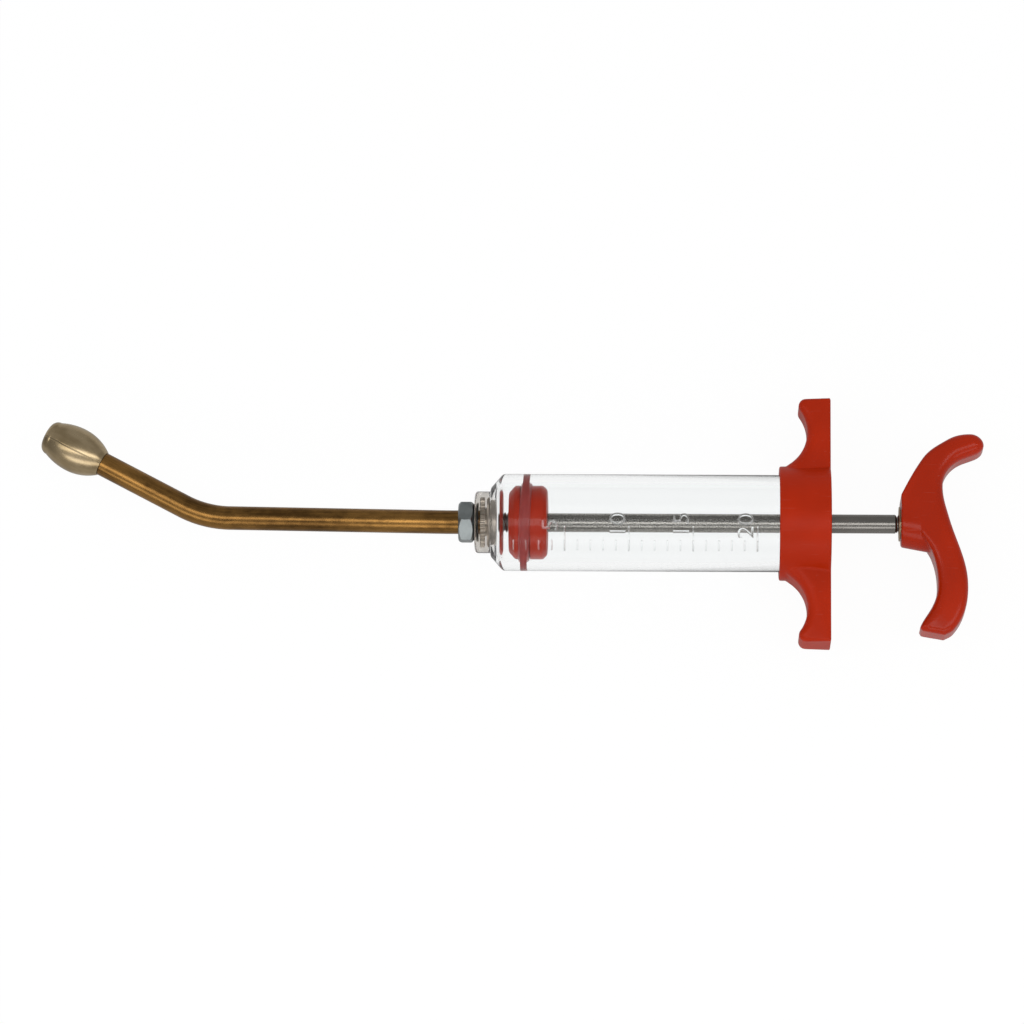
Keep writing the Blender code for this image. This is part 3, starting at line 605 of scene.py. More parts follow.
class NozzleSettings(PropertyGroup):
    tube_diameter: size("Tube diameter", "Outside of the brass tube", 5.9)
    tube_wall: size("Tube wall", "Thickness of the tube's wall", 1.2)
    straight_length: size("Straight length", "Tube in line with the barrel", 10.94)
    run_length: size("Run length", "Tube from there to the bend's corner", 60.2)
    run_rise: turn_angle("Run rise", "Slight rise of the run", 0.85)
    bend_angle: turn_angle("Bend angle", "Turn of the bend", 26.85)
    bend_radius: size("Bend radius", "Radius of the bend's centreline", 26.0)
    riser_length: size("Riser length", "Tube from the bend's corner to the olive", 29.4)
    spigot_diameter: size("Spigot diameter", "Tube's end inside the olive", 4.9)
    spigot_length: size("Spigot length", "Length of the tube inside the olive", 5.5)
    olive_diameter: size("Olive diameter", "Widest place of the olive", 11.4)
    olive_length: size("Olive length", "Olive from base to tip", 15.9)
    olive_base: size("Olive base", "Diameter of the olive at the tube", 6.3)
    olive_belly: size("Olive belly", "Distance of the widest place from the base", 7.6)
    olive_front_arc: size("Olive front arc", "Radius of the outline ahead of the belly", 15.5)
    olive_side: size("Olive side", "Distance of the nose's start from the base", 13.9)
    seam_angle: turn_angle("Seam angle", "Place of the fine seam, from the top", 12)
    outlet_diameter: size("Outlet diameter", "Hole in the olive's tip", 3.0)
    land_width: size("Land width", "Flat ring round the outlet", 0.8)
    dark_brass: tint("Dark brass", "Tarnished colour of the tube", 94, 67, 35)
    gold_brass: tint("Gold brass", "Rubbed colour of the tube", 160, 118, 63)
    pale_brass: tint("Pale brass", "Bright colour of the olive", 190, 170, 136)
    shaded_brass: tint("Shaded brass", "Dull colour of the olive", 158, 138, 104)


class TubeRoute(NamedTuple):
    """Turning points of the tube's centreline, the bend's centre, and the tube's headings."""
    start: Vector
    run_start: Vector
    bend_start: Vector
    bend_end: Vector
    shoulder: Vector
    centre: Vector
    run: Vector
    riser: Vector
    rise: float


def tube_route(nozzle):
    """Follow the tube from the neck: straight, along the run, round the bend to the olive."""
    run = Vector((-cos(nozzle.run_rise), sin(nozzle.run_rise), 0))
    rise = nozzle.run_rise + nozzle.bend_angle
    riser = Vector((-cos(rise), sin(rise), 0))
    tangent = nozzle.bend_radius * tan(nozzle.bend_angle / 2)
    start = AXIS_POINT + Vector((span("nozzle_tube")[1], 0, 0))
    run_start = start - Vector((nozzle.straight_length, 0, 0))
    corner = run_start + run * nozzle.run_length
    bend_start = corner - run * tangent
    return TubeRoute(
        start=start,
        run_start=run_start,
        bend_start=bend_start,
        bend_end=corner + riser * tangent,
        shoulder=corner + riser * nozzle.riser_length,
        centre=bend_start + Vector((-run.y, run.x, 0)) * -nozzle.bend_radius,
        run=run,
        riser=riser,
        rise=rise,
    )


def store_places(piece, attribute, place_of):
    """Keep on each vertex a place that a material reads."""
    data = piece.data.attributes.new(attribute, 'FLOAT_VECTOR', 'POINT').data
    for vertex in piece.data.vertices:
        data[vertex.index].vector = place_of(vertex.co)


def place_in_tube(route, nozzle, point):
    """How far along the tube, across it and above its centreline a point lies."""
    from_start = point - route.bend_start
    from_end = point - route.bend_end
    bend_length = nozzle.bend_radius * nozzle.bend_angle
    if from_start.dot(route.run) <= 0:
        along = from_start.dot(route.run)
        across = from_start.dot(Vector((route.run.y, -route.run.x, 0)))
    elif from_end.dot(route.riser) >= 0:
        along = bend_length + from_end.dot(route.riser)
        across = from_end.dot(Vector((route.riser.y, -route.riser.x, 0)))
    else:
        arm = point - route.centre
        arm.z = 0
        along = nozzle.bend_radius * arm.angle(route.bend_start - route.centre)
        across = nozzle.bend_radius - arm.length
    return along, across, point.z - AXIS_POINT.z


class SYRINGE_OT_nozzle_tube(Operator):
    """Brass tube: a ring pulled along the run, spun through the bend and pulled to the olive"""
    bl_idname = "syringe.nozzle_tube"
    bl_label = "Nozzle Tube"

    def execute(self, context):
        nozzle = context.scene.syringe_nozzle
        route = tube_route(nozzle)
        deselect_all()
        bpy.ops.mesh.primitive_circle_add(vertices=SMALL_SEGMENTS, location=route.start,
                                          radius=nozzle.tube_diameter / 2,
                                          rotation=(0, pi / 2, 0))
        tube = name_active("brass_tube")
        apply_place(tube)
        edit()
        pull(route.run_start - route.start)
        pull(route.bend_start - route.run_start)
        bpy.ops.mesh.spin(steps=28, angle=nozzle.bend_angle, center=route.centre,
                          axis=(0, 0, 1))
        pull(route.shoulder - route.bend_end)
        narrow = nozzle.spigot_diameter / nozzle.tube_diameter
        pull((0, 0, 0))
        bpy.ops.transform.resize(value=(narrow, narrow, narrow),
                                 center_override=route.shoulder)
        pull(route.riser * nozzle.spigot_length)
        finish_edit()
        store_places(tube, "along_tube", lambda co: place_in_tube(route, nozzle, co))
        apply_modifier(tube, 'SOLIDIFY', thickness=nozzle.tube_wall, offset=-1.0)
        bpy.ops.object.shade_smooth_by_angle(angle=SMOOTH_ANGLE)
        seat(tube, tube_brass_finish("Drawn brass", nozzle.dark_brass, nozzle.gold_brass),
             "nozzle", "nozzle_tube", "nozzle_tube")
        return {'FINISHED'}


def olive_section(nozzle):
    """Half section of the olive, as distance from its base and radius: the arcs behind and
    ahead of the belly, the rounded nose, the outlet, and the socket for the tube's spigot."""
    steps = 16
    belly = nozzle.olive_diameter / 2
    drop = belly - nozzle.olive_base / 2
    rear = (nozzle.olive_belly ** 2 + drop ** 2) / (2 * drop)
    front = nozzle.olive_front_arc
    section = []
    for i in range(steps):
        behind = nozzle.olive_belly * (1 - i / steps)
        section.append((nozzle.olive_belly - behind,
                        belly - rear + sqrt(rear ** 2 - behind ** 2)))
    for i in range(steps):
        ahead = (nozzle.olive_side - nozzle.olive_belly) * i / (steps - 1)
        section.append((nozzle.olive_belly + ahead,
                        belly - front + sqrt(front ** 2 - ahead ** 2)))
    side_radius = section[-1][1]
    outlet = nozzle.outlet_diameter / 2
    land = outlet + nozzle.land_width
    nose = nozzle.olive_length - nozzle.olive_side
    for i in range(1, steps + 1):
        turned = pi / 2 * i / steps
        section.append((nozzle.olive_side + nose * sin(turned),
                        land + (side_radius - land) * cos(turned)))
    socket = nozzle.spigot_diameter / 2 + CLOSE_FIT
    socket_end = nozzle.spigot_length + LOOSE_FIT
    return section + [(nozzle.olive_length, outlet), (socket_end, outlet),
                      (socket_end, socket), (0, socket)]


class SYRINGE_OT_nozzle_olive(Operator):
    """Ball tip: its outline turned about X and leaned onto the tube's end"""
    bl_idname = "syringe.nozzle_olive"
    bl_label = "Nozzle Olive"

    def execute(self, context):
        nozzle = context.scene.syringe_nozzle
        route = tube_route(nozzle)
        joint_gap = 0.12 * MM
        olive = turned_piece("brass_olive",
                             [(-x, radius) for x, radius in olive_section(nozzle)],
                             place=Vector((0, 0, 0)))
        store_places(olive, "on_olive", lambda co: co)
        olive.rotation_euler.z = -route.rise
        olive.location = route.shoulder + route.riser * joint_gap
        apply_place(olive)
        finish = olive_brass_finish("Pale turned brass", nozzle.pale_brass,
                                    nozzle.shaded_brass, nozzle.seam_angle)
        seat(olive, finish, "nozzle", "nozzle_olive", "nozzle_olive")
        return {'FINISHED'}


class FittingSettings(PropertyGroup):
    nut_flats: size("Nut across flats", "Width of the lock nut over two flats", 9.6)
    nut_chamfer: turn_angle("Nut chamfer", "Slope of the turned corners", 38)
    nut_roll: turn_angle("Nut roll", "How far the nut is turned", 6.4)
    thread_hole: size("Thread hole", "Hole through nut, gasket and insert", 6.1)
    insert_collar: size("Insert collar", "Length of the straight knurl", 1.25)
    insert_groove: size("Insert groove", "Length of the groove between the knurls", 0.45)
    insert_growth: size("Insert growth", "How much longer it is than its CAD node", 0.5)
    groove_depth: size("Groove depth", "Depth of that groove", 0.5)
    knurl_depth: size("Knurl depth", "Height of the knurl's points", 0.34)
    zinc: tint("Zinc", "Plating of the nut", 150, 156, 156)
    nickel: tint("Nickel", "Plating of the insert", 208, 200, 190)
    black_rubber: tint("Black rubber", "Sealing washer", 34, 35, 36)


class SYRINGE_OT_lock_nut(Operator):
    """Hexagon whose corners are turned off by cones at both ends"""
    bl_idname = "syringe.lock_nut"
    bl_label = "Lock Nut"

    def execute(self, context):
        fitting = context.scene.syringe_fittings
        half_corner = radians(30)
        edge = 0.15 * MM
        washer_face = 0.35 * MM
        front, rear = span("lock_nut")
        flat = fitting.nut_flats / 2
        corner = flat / cos(half_corner)
        past_corner = corner + 0.02 * MM
        face = flat - washer_face
        rise = (corner - face) * tan(fitting.nut_chamfer)
        middle = AXIS_POINT + Vector(((front + rear) / 2, 0, 0))
        deselect_all()
        bpy.ops.mesh.primitive_cylinder_add(vertices=6, radius=corner, depth=rear - front,
                                            location=middle, rotation=(0, pi / 2, 0))
        nut = name_active("zinc_nut")
        apply_place(nut)
        roll = Matrix.Rotation(half_corner + fitting.nut_roll, 4, 'X')
        roll_about_axis = Matrix.Translation(middle) @ roll @ Matrix.Translation(-middle)
        place_vertices(nut, lambda co: roll_about_axis @ co)
        apply_modifier(nut, 'BEVEL', width=0.12 * MM, segments=3, limit_method='ANGLE')
        hole = fitting.thread_hole / 2
        blank = turned_piece("nut_blank", [
            (front, hole), (front, face, edge), (front + rise, past_corner),
            (rear - rise, past_corner), (rear, face, edge), (rear, hole),
        ])
        combine(nut, blank, 'INTERSECT')
        pick(nut)
        bpy.ops.object.shade_smooth_by_angle(angle=radians(20))
        seat(nut, plated_finish("Zinc plating", fitting.zinc, dull=0.26), "nozzle",
             "lock_nut", "lock_nut")
        return {'FINISHED'}


def knurl(piece, rings, every, height, lift):
    """Lift the chosen vertices of the rings away from the axis."""
    def place(co):
        for i, x in enumerate(rings):
            if abs(co.x - x) < NEAR:
                arm = Vector((0, co.y - AXIS_POINT.y, co.z - AXIS_POINT.z))
                step = round(atan2(arm.y, arm.z) / (2 * pi) * every)
                if lift(step, i):
                    return co + arm.normalized() * height
        return co
    place_vertices(piece, place)


class SYRINGE_OT_neck_fittings(Operator):
    """Black gasket, and the knurled insert that is moulded into the neck"""
    bl_idname = "syringe.neck_fittings"
    bl_label = "Gasket and Insert"

    # Points of the knurl round the insert, and rows of its diamonds
    columns = 112
    rows = 7

    def make_gasket(self, fitting):
        """Washer between the nut and the recess of the neck."""
        edge = 0.2 * MM
        gap = 0.05 * MM
        hole = fitting.thread_hole / 2
        front = span("lock_nut")[1] + gap
        rear = span("nozzle_gasket")[1]
        radius = node_radius("nozzle_gasket")
        gasket = turned_piece("rubber_gasket", [
            (front, hole), (front, radius, edge), (rear, radius, edge), (rear, hole),
        ])
        seat(gasket, rubber_finish("Black rubber", fitting.black_rubber, dull=0.5), "housing",
             "nozzle_gasket", "nozzle_gasket")

    def make_insert(self, fitting):
        """Insert with a straight knurl on its collar and a diamond knurl behind a groove."""
        hole = fitting.thread_hole / 2
        knurl_edge = 0.12 * MM
        end_chamfer = 0.2 * MM
        end_land = 0.05 * MM
        front, rear = span("neck_insert")
        rear += fitting.insert_growth
        radius = node_radius("neck_insert")
        root = radius - fitting.knurl_depth
        groove = radius - fitting.groove_depth
        collar_end = front + fitting.insert_collar
        groove_end = collar_end + fitting.insert_groove
        pitch = (rear - end_land - groove_end) / self.rows
        diamond = [groove_end + pitch * i for i in range(self.rows + 1)]
        insert = turned_piece("knurled_insert", [
            (front, hole), (front, root), (front + knurl_edge, root),
            (collar_end - knurl_edge, root), (collar_end, root), (collar_end, groove),
            (groove_end, groove), *((x, root) for x in diamond),
            (rear, root - end_chamfer), (rear, hole),
        ], segments=self.columns)
        # Two columns of four stand out on the collar, and every other point of the diamonds
        bore_end = AXIS_POINT.x
        knurl(insert, [bore_end + front + knurl_edge, bore_end + collar_end - knurl_edge],
              self.columns, fitting.knurl_depth, lambda step, ring: step % 4 < 2)
        knurl(insert, [bore_end + x for x in diamond[1:-1]],
              self.columns, fitting.knurl_depth, lambda step, ring: (step + ring) % 2 == 0)
        pick(insert)
        bpy.ops.object.shade_smooth_by_angle(angle=radians(12))
        seat(insert, plated_finish("Nickel plating", fitting.nickel, dull=0.24), "housing",
             "neck_insert", "neck_insert")

    def execute(self, context):
        fitting = context.scene.syringe_fittings
        self.make_gasket(fitting)
        self.make_insert(fitting)
        return {'FINISHED'}


# Barrel

class BarrelSettings(PropertyGroup):
    bore: size("Bore", "Inside diameter of the barrel", 20.0)
    end_wall: size("End wall", "Thickness of the closed end", 2.45)
    cone_length: size("End cone length", "Cone at the bore's end", 1.0)
    cone_drop: size("End cone drop", "How far the cone closes in", 1.0)
    end_depth: size("End depth", "How far the bore runs on past the plunger's stop", 0.3)
    shoulder_length: size("Shoulder length", "Cone outside the closed end", 3.15)
    shoulder_drop: size("Shoulder drop", "How far the shoulder closes in", 3.6)
    neck: size("Neck", "Outside diameter of the neck", 15.4)
    neck_edge: size("Neck edge", "Rounding of the neck's front edge", 0.9)
    recess_depth: size("Recess depth", "Recess in the neck for the gasket", 1.3)
    zero_mark: size("Zero mark", "Where the scale starts, from the bore's end", 0.25)
    millilitre: size("Millilitre", "Distance between two marks", 3.184)
    mark_width: size("Mark width", "Width of a mark", 0.38)
    relief: size("Relief", "How far marks and numbers stand out", 0.2)
    number_height: size("Number height", "Height of the numbers", 4.0)
    number_stretch: FloatProperty(name="Number stretch", description="Extra width of the numbers",
                                  default=1.15)
    clear: tint("Clear", "Tint of the clear plastic", 252, 253, 253)
    shine: FloatProperty(name="Shine", description="Share of the plain reflection straight on",
                         default=0.15, min=0.0, max=1.0, subtype='FACTOR')
    neck_frost: FloatProperty(name="Neck frost", description="Roughness of the neck's skin",
                              default=0.05, min=0.0, max=1.0, subtype='FACTOR')


class SYRINGE_OT_barrel(Operator):
    """Clear barrel with its closed end, shoulder and neck"""
    bl_idname = "syringe.barrel"
    bl_label = "Barrel"

    def execute(self, context):
        barrel = context.scene.syringe_barrel
        fitting = context.scene.syringe_fittings
        edge = 0.25 * MM
        rear_edge = 0.3 * MM
        neck_root = 0.2 * MM
        shoulder_front = 0.5 * MM
        shoulder_rear = 0.6 * MM
        gasket_fit = 0.15 * MM
        insert_overlap = 0.1 * MM
        knurl_bite = 0.45 * MM
        front, rear = span("barrel")
        bore = barrel.bore / 2
        outside = node_radius("barrel")
        neck = barrel.neck / 2
        hole = fitting.thread_hole / 2
        recess = node_radius("nozzle_gasket") + gasket_fit
        recess_end = front + barrel.recess_depth
        insert_end = span("neck_insert")[1] + fitting.insert_growth - insert_overlap
        pocket = node_radius("neck_insert") - knurl_bite
        body = turned_piece("clear_barrel", [
            (rear, bore, rear_edge),
            (barrel.cone_length - barrel.end_depth, bore, edge),
            (-barrel.end_depth, bore - barrel.cone_drop, edge),
            (-barrel.end_depth, hole),
            (insert_end, hole),
            (insert_end, pocket),
            (recess_end, pocket),
            (recess_end, recess),
            (front, recess, edge),
            (front, neck, barrel.neck_edge),
            (-barrel.end_wall, neck, neck_root),
            (-barrel.end_wall, outside - barrel.shoulder_drop, shoulder_front),
            (barrel.shoulder_length - barrel.end_wall, outside, shoulder_rear),
            (rear, outside, rear_edge),
        ], segments=160)
        finish = clear_moulding_finish("Clear moulding", barrel.clear, shine=barrel.shine,
                                       neck_frost=barrel.neck_frost)
        seat(body, finish, "housing", "barrel", "barrel")
        return {'FINISHED'}


class SYRINGE_OT_scale(Operator):
    """Marks for each millilitre and a number at each fifth, raised on the barrel"""
    bl_idname = "syringe.scale"
    bl_label = "Scale"

    # Where a mark starts and ends round the barrel, from its top
    long_mark = (radians(17), radians(48))
    short_mark = (radians(34), radians(47))
    # Each number, the gap between its foot and its mark, and its middle round the barrel
    numbers = ((5, 1.6 * MM, radians(16.2)), (10, 0.8 * MM, radians(13.4)),
               (15, 1.0 * MM, radians(13.4)), (20, 1.0 * MM, radians(16.2)))
    # How deep marks and numbers sink into the barrel's wall
    sunk = 0.06 * MM
    # Millilitres in all, and from one number to the next
    capacity = 20
    fifth = 5

    def make_marks(self, name, barrel, x, around, count, pitch):
        """Spin one mark's section round the barrel, and repeat it along the barrel."""
        deselect_all()
        bpy.ops.mesh.primitive_plane_add(size=1, rotation=(pi / 2, 0, 0))
        piece = name_active(name)
        piece.scale = (barrel.mark_width, barrel.relief + self.sunk, 1)
        piece.location = (x, 0, node_radius("barrel") + barrel.relief / 2 - self.sunk / 2)
        apply_place(piece)
        edit()
        bpy.ops.transform.rotate(value=-around[0], orient_axis='X', center_override=(0, 0, 0))
        bpy.ops.mesh.spin(steps=16, angle=around[0] - around[1], center=(0, 0, 0),
                          axis=(1, 0, 0))
        finish_edit(AXIS_POINT)
        apply_modifier(piece, 'BEVEL', width=0.08 * MM, segments=3, limit_method='ANGLE')
        apply_modifier(piece, 'ARRAY', count=count, use_relative_offset=False,
                       use_constant_offset=True, constant_offset_displace=(pitch, 0, 0))
        return piece

    def make_number(self, barrel, text, baseline, middle):
        """Number that reads along the barrel's side, wrapped round it."""
        deselect_all()
        bpy.ops.object.text_add()
        piece = name_active("number_" + text)
        piece.data.body = text
        piece.data.size = 10 * MM
        piece.data.extrude = barrel.relief / 2
        piece.data.bevel_depth = 0.04 * MM
        piece.data.resolution_u = 10
        bpy.ops.object.convert(target='MESH')
        piece = bpy.context.object
        edit()
        merge_doubles()
        bpy.ops.object.mode_set(mode='OBJECT')
        corners = [vertex.co for vertex in piece.data.vertices]
        low = Vector(min(co[i] for co in corners) for i in range(3))
        high = Vector(max(co[i] for co in corners) for i in range(3))
        zoom = barrel.number_height / (high.y - low.y)
        radius = node_radius("barrel")

        def wrap(co):
            along = (co.y - low.y) * zoom
            across = (co.x - (low.x + high.x) / 2) * zoom * barrel.number_stretch
            around = middle - across / radius
            out = radius + (co.z - low.z) - self.sunk
            return AXIS_POINT + Vector((baseline - along, -out * sin(around), out * cos(around)))
        place_vertices(piece, wrap)
        return piece

    def execute(self, context):
        barrel = context.scene.syringe_barrel
        ml = barrel.millilitre
        zero = barrel.zero_mark
        shells = [
            self.make_marks("short_marks", barrel, zero + ml, self.short_mark,
                            self.capacity, ml),
            self.make_marks("long_marks", barrel, zero + self.fifth * ml, self.long_mark,
                            self.capacity // self.fifth, self.fifth * ml),
        ]
        for millilitres, gap, middle in self.numbers:
            foot = zero + millilitres * ml - gap
            shells.append(self.make_number(barrel, str(millilitres), foot, middle))
        relief = join_pieces("scale_relief", *shells)
        bpy.ops.object.shade_smooth_by_angle(angle=SMOOTH_ANGLE)
        finish = clear_moulding_finish("Clear relief", barrel.clear, shine=1.0, dull=0.15)
        seat(relief, finish, "housing", "barrel")
        return {'FINISHED'}


# Plunger

class PistonSettings(PropertyGroup):
    disc_diameter: size("Disc diameter", "Outside of the red discs", 18.4)
    front_chamfer_length: size("Front chamfer length", "Chamfer of the front disc", 1.6)
    front_chamfer_drop: size("Front chamfer drop", "How far it closes in", 1.85)
    rear_chamfer: size("Rear chamfer", "Chamfer of the rear disc", 1.05)
    o_ring_section: size("O-ring section", "Thickness of the seal", 2.65)
    o_ring_skew: turn_angle("O-ring skew", "How far the seal sits askew", 2.3)
    o_ring_squeeze: size("O-ring squeeze", "How far the seal presses into the wall", 0.27)
    stud_hole: size("Stud hole", "Hole in the discs for the rod's thread", 5.1)
    rod_diameter: size("Rod diameter", "Steel rod", 4.7)
    rod_length: size("Rod length", "Shaft behind the piston", 86.9)
    front_thread: size("Front thread", "Diameter of the thread in the piston", 5.0)
    front_pitch: size("Front pitch", "Pitch of that thread", 0.8)
    rear_thread: size("Rear thread", "Diameter of the thread in the handle", 4.4)
    rear_pitch: size("Rear pitch", "Pitch of that thread", 0.7)
    red: tint("Red plastic", "Moulded discs", 168, 38, 8)
    rubber: tint("Red rubber", "Seal", 150, 56, 52)
    steel: tint("Steel", "Rod", 140, 137, 132)
    dark_steel: tint("Dark steel", "Threads of the rod", 92, 54, 44)


class SYRINGE_OT_piston(Operator):
    """Two red discs with the O-ring between them"""
    bl_idname = "syringe.piston"
    bl_label = "Piston"

    def execute(self, context):
        piston = context.scene.syringe_piston
        barrel = context.scene.syringe_barrel
        red = red_moulding_finish("Red moulding of the discs", piston.red, dull=0.35,
                                  shine=0.15)
        # How far each disc presses into the seal
        press = 0.16 * MM
        seal_play = 0.14 * MM
        hub_fit = 0.08 * MM
        ring_edge = 0.1 * MM
        front_edge = 0.45 * MM
        rear_edge = 0.4 * MM
        hole = piston.stud_hole / 2
        radius = piston.disc_diameter / 2
        front, rear = span("piston_front")
        disc = turned_piece("red_front_disc", [
            (front, hole), (front, radius - piston.front_chamfer_drop, front_edge),
            (front + piston.front_chamfer_length, radius, front_edge),
            (rear + press, radius, ring_edge), (rear + press, hole),
        ])
        seat(disc, red, "plunger", "piston_discs", "piston_front")

        hub_front, back = span("piston_rear")
        step = rear + piston.o_ring_section + seal_play
        section = piston.o_ring_section / 2
        ring_radius = barrel.bore / 2 + piston.o_ring_squeeze - section
        hub = ring_radius - section - hub_fit
        shaft = piston.rod_diameter / 2 + LOOSE_FIT
        disc = turned_piece("red_rear_disc", [
            (hub_front, hole), (hub_front, hub), (step - press, hub),
            (step - press, radius, ring_edge),
            (back - piston.rear_chamfer, radius, rear_edge),
            (back, radius - piston.rear_chamfer, rear_edge), (back, shaft),
        ])
        seat(disc, red, "plunger", "piston_discs", "piston_rear")

        middle = AXIS_POINT + Vector(((rear + step) / 2, 0, 0))
        swelling = 1.06
        deselect_all()
        bpy.ops.mesh.primitive_torus_add(location=middle,
                                         rotation=(0, pi / 2, -piston.o_ring_skew),
                                         major_radius=ring_radius, minor_radius=section,
                                         major_segments=TURN_SEGMENTS, minor_segments=32)
        ring = name_active("rubber_o_ring")
        apply_place(ring)
        edit()
        bpy.ops.transform.resize(value=(swelling, 1, 1), center_override=middle)
        bpy.ops.object.mode_set(mode='OBJECT')
        bpy.ops.object.shade_smooth()
        seat(ring, rubber_finish("Red rubber", piston.rubber, dull=0.42), "piston_seal",
             "piston_o_ring", "piston_o_ring")
        return {'FINISHED'}


class SYRINGE_OT_rod(Operator):
    """Steel rod with a thread at each end"""
    bl_idname = "syringe.rod"
    bl_label = "Rod"

    def execute(self, context):
        piston = context.scene.syringe_piston
        depth_share = 0.6
        tip_share = 0.9
        end_chamfer = 0.3 * MM
        shaft_chamfer = 0.35 * MM
        collar_lip = 0.3 * MM
        inside_disc = 1.5 * MM
        bare_end = 0.3 * MM
        front, rear = span("piston_rod")
        back = span("piston_rear")[1]
        shaft_end = back + piston.rod_length
        radius = piston.rod_diameter / 2
        collar = radius + collar_lip
        collar_start = back - 1.2 * MM
        collar_end = back - 0.2 * MM
        front_root = piston.front_thread / 2 - piston.front_pitch * depth_share
        rear_root = piston.rear_thread / 2 - piston.rear_pitch * depth_share
        shaft = turned_piece("steel_rod", [
            (front, 0), (front, front_root * tip_share), (front + end_chamfer, front_root),
            (collar_start, front_root), (collar_start, collar), (collar_end, collar),
            (collar_end, radius), (shaft_end - shaft_chamfer, radius),
            (shaft_end, radius - shaft_chamfer), (shaft_end, rear_root), (rear, rear_root),
            (rear, 0),
        ], closed=False)
        front_end = span("piston_front")[0]
        front_thread = thread("front_thread", start=front + 0.15 * MM,
                              length=front_end - front + inside_disc,
                              pitch=piston.front_pitch, major=piston.front_thread / 2,
                              minor=front_root)
        rear_thread = thread("rear_thread", start=shaft_end - 0.1 * MM,
                             length=rear - shaft_end - bare_end,
                             pitch=piston.rear_pitch, major=piston.rear_thread / 2,
                             minor=rear_root)
        threads = join_pieces("rod_threads", front_thread, rear_thread)
        seat(threads, plated_finish("Dark steel threads", piston.dark_steel, dull=0.3),
             "plunger", "piston_rod")
        seat(shaft, drawn_steel_finish("Drawn steel", piston.steel), "plunger",
             "piston_rod", "piston_rod")
        return {'FINISHED'}


# Grip and handle

class GripSettings(PropertyGroup):
    cap_wall: size("Cap wall", "Wall of the cap round the barrel", 1.85)
    web: size("Web", "Thickness of the cap's back", 4.0)
    cap_edge: size("Cap edge", "Rounding of the cap's front rim", 0.35)
    waist: size("Waist", "Thinnest place of a wing", 5.85)
    waist_position: size("Waist position", "Distance of that place from the axis", 22.5)
    scallop: size("Scallop", "Radius of the finger's hollow", 9.8)
    root_slope: turn_angle("Root slope", "Slope of a wing at the cap", 53.5)
    tip_radius: size("Tip radius", "Rounding of a wing's tip", 1.8)
    root_depth: size("Root depth", "Depth of a wing at the axis", 15.2)
    tip_depth: size("Tip depth", "Depth of a wing at its tip", 11.2)
    root_fillet: size("Root fillet", "Rounding of a wing's front rims at the axis", 3.0)
    tip_fillet: size("Tip fillet", "Rounding of the rims at the tip", 1.3)
    red: tint("Red plastic", "Moulded grip and handle", 165, 36, 4)


def wing_line(grip, length, half_span):
    """Distance from the axis and thickness of one wing, from the cap's middle to its tip."""
    hollow_steps = 40
    tip_steps = 14
    slope = grip.root_slope
    root = grip.waist_position - grip.scallop * sin(slope)
    thick = grip.waist + grip.scallop * (1 - cos(slope))
    short_of_front = 0.5 * MM
    buried = length - short_of_front
    line = [(max(root - (buried - thick) / tan(slope), 0), buried)]
    corner = half_span - grip.tip_radius
    reach = grip.scallop + grip.tip_radius
    touch = asin((corner - grip.waist_position) / reach)
    height = grip.waist + grip.scallop - sqrt(reach ** 2 - (corner - grip.waist_position) ** 2)
    for i in range(hollow_steps + 1):
        angle = -slope + (slope + touch) * i / hollow_steps
        line.append((grip.waist_position + grip.scallop * sin(angle),
                     grip.waist + grip.scallop * (1 - cos(angle))))
    for i in range(1, tip_steps + 1):
        angle = (pi / 2 + touch) * (1 - i / tip_steps)
        line.append((corner + grip.tip_radius * cos(angle),
                     height + grip.tip_radius * sin(angle)))
    return line


class SYRINGE_OT_finger_grip(Operator):
    """Cap for the barrel with two finger wings, moulded in one"""
    bl_idname = "syringe.finger_grip"
    bl_label = "Finger Grip"

    def make_wings(self, grip, low, high):
        """Both wings as one plate, thinner and with smaller rims towards the tips."""
        rim_share = 0.42
        least_rim = 0.3 * MM
        half_span = (high.y - low.y) / 2
        line = wing_line(grip, high.x - low.x, half_span)
        upper = [(high.x - thick, y) for y, thick in line] + [(high.x, half_span)]
        lower = [(x, -y) for x, y in upper]
        outline = lower + upper[::-1]
        radii = []
        for x, y in outline:
            fade = (abs(y) / half_span) ** 3
            fillet = grip.root_fillet + (grip.tip_fillet - grip.root_fillet) * fade
            radii.append(min(fillet, (high.x - x) * rim_share + least_rim))
        narrowing = grip.tip_depth / grip.root_depth - 1
        return plate("red_finger_grip", outline, radii, lambda y: (
            grip.root_depth / 2 * (1 + narrowing * abs(y) / half_span)))

    def execute(self, context):
        grip = context.scene.syringe_grip
        piston = context.scene.syringe_piston
        rear_edge = 0.4 * MM
        rod_fit = 0.3 * MM
        low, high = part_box("finger_grip")
        body = self.make_wings(grip, low, high)
        cap_radius = (high.z - low.z) / 2
        front, rear = span("finger_grip")
        cap = turned_piece("grip_cap", [
            (front, 0), (front, cap_radius, grip.cap_edge), (rear, cap_radius, rear_edge),
            (rear, 0),
        ], closed=False)
        combine(body, cap, 'UNION')
        socket = cap_radius - grip.cap_wall
        hole = piston.rod_diameter / 2 + rod_fit
        floor = rear - grip.web
        cutter = turned_piece("grip_socket", [
            (front - MM, 0), (front - MM, socket), (floor, socket), (floor, hole),
            (rear + MM, hole), (rear + MM, 0),
        ], closed=False)
        combine(body, cutter, 'DIFFERENCE')
        melt_edges(body, voxel=0.25 * MM)
        finish = red_moulding_finish("Red moulding of the grip", grip.red, dull=0.32,
                                     shine=0.1)
        seat(body, finish, "housing", "red_moulding", "finger_grip")
        return {'FINISHED'}


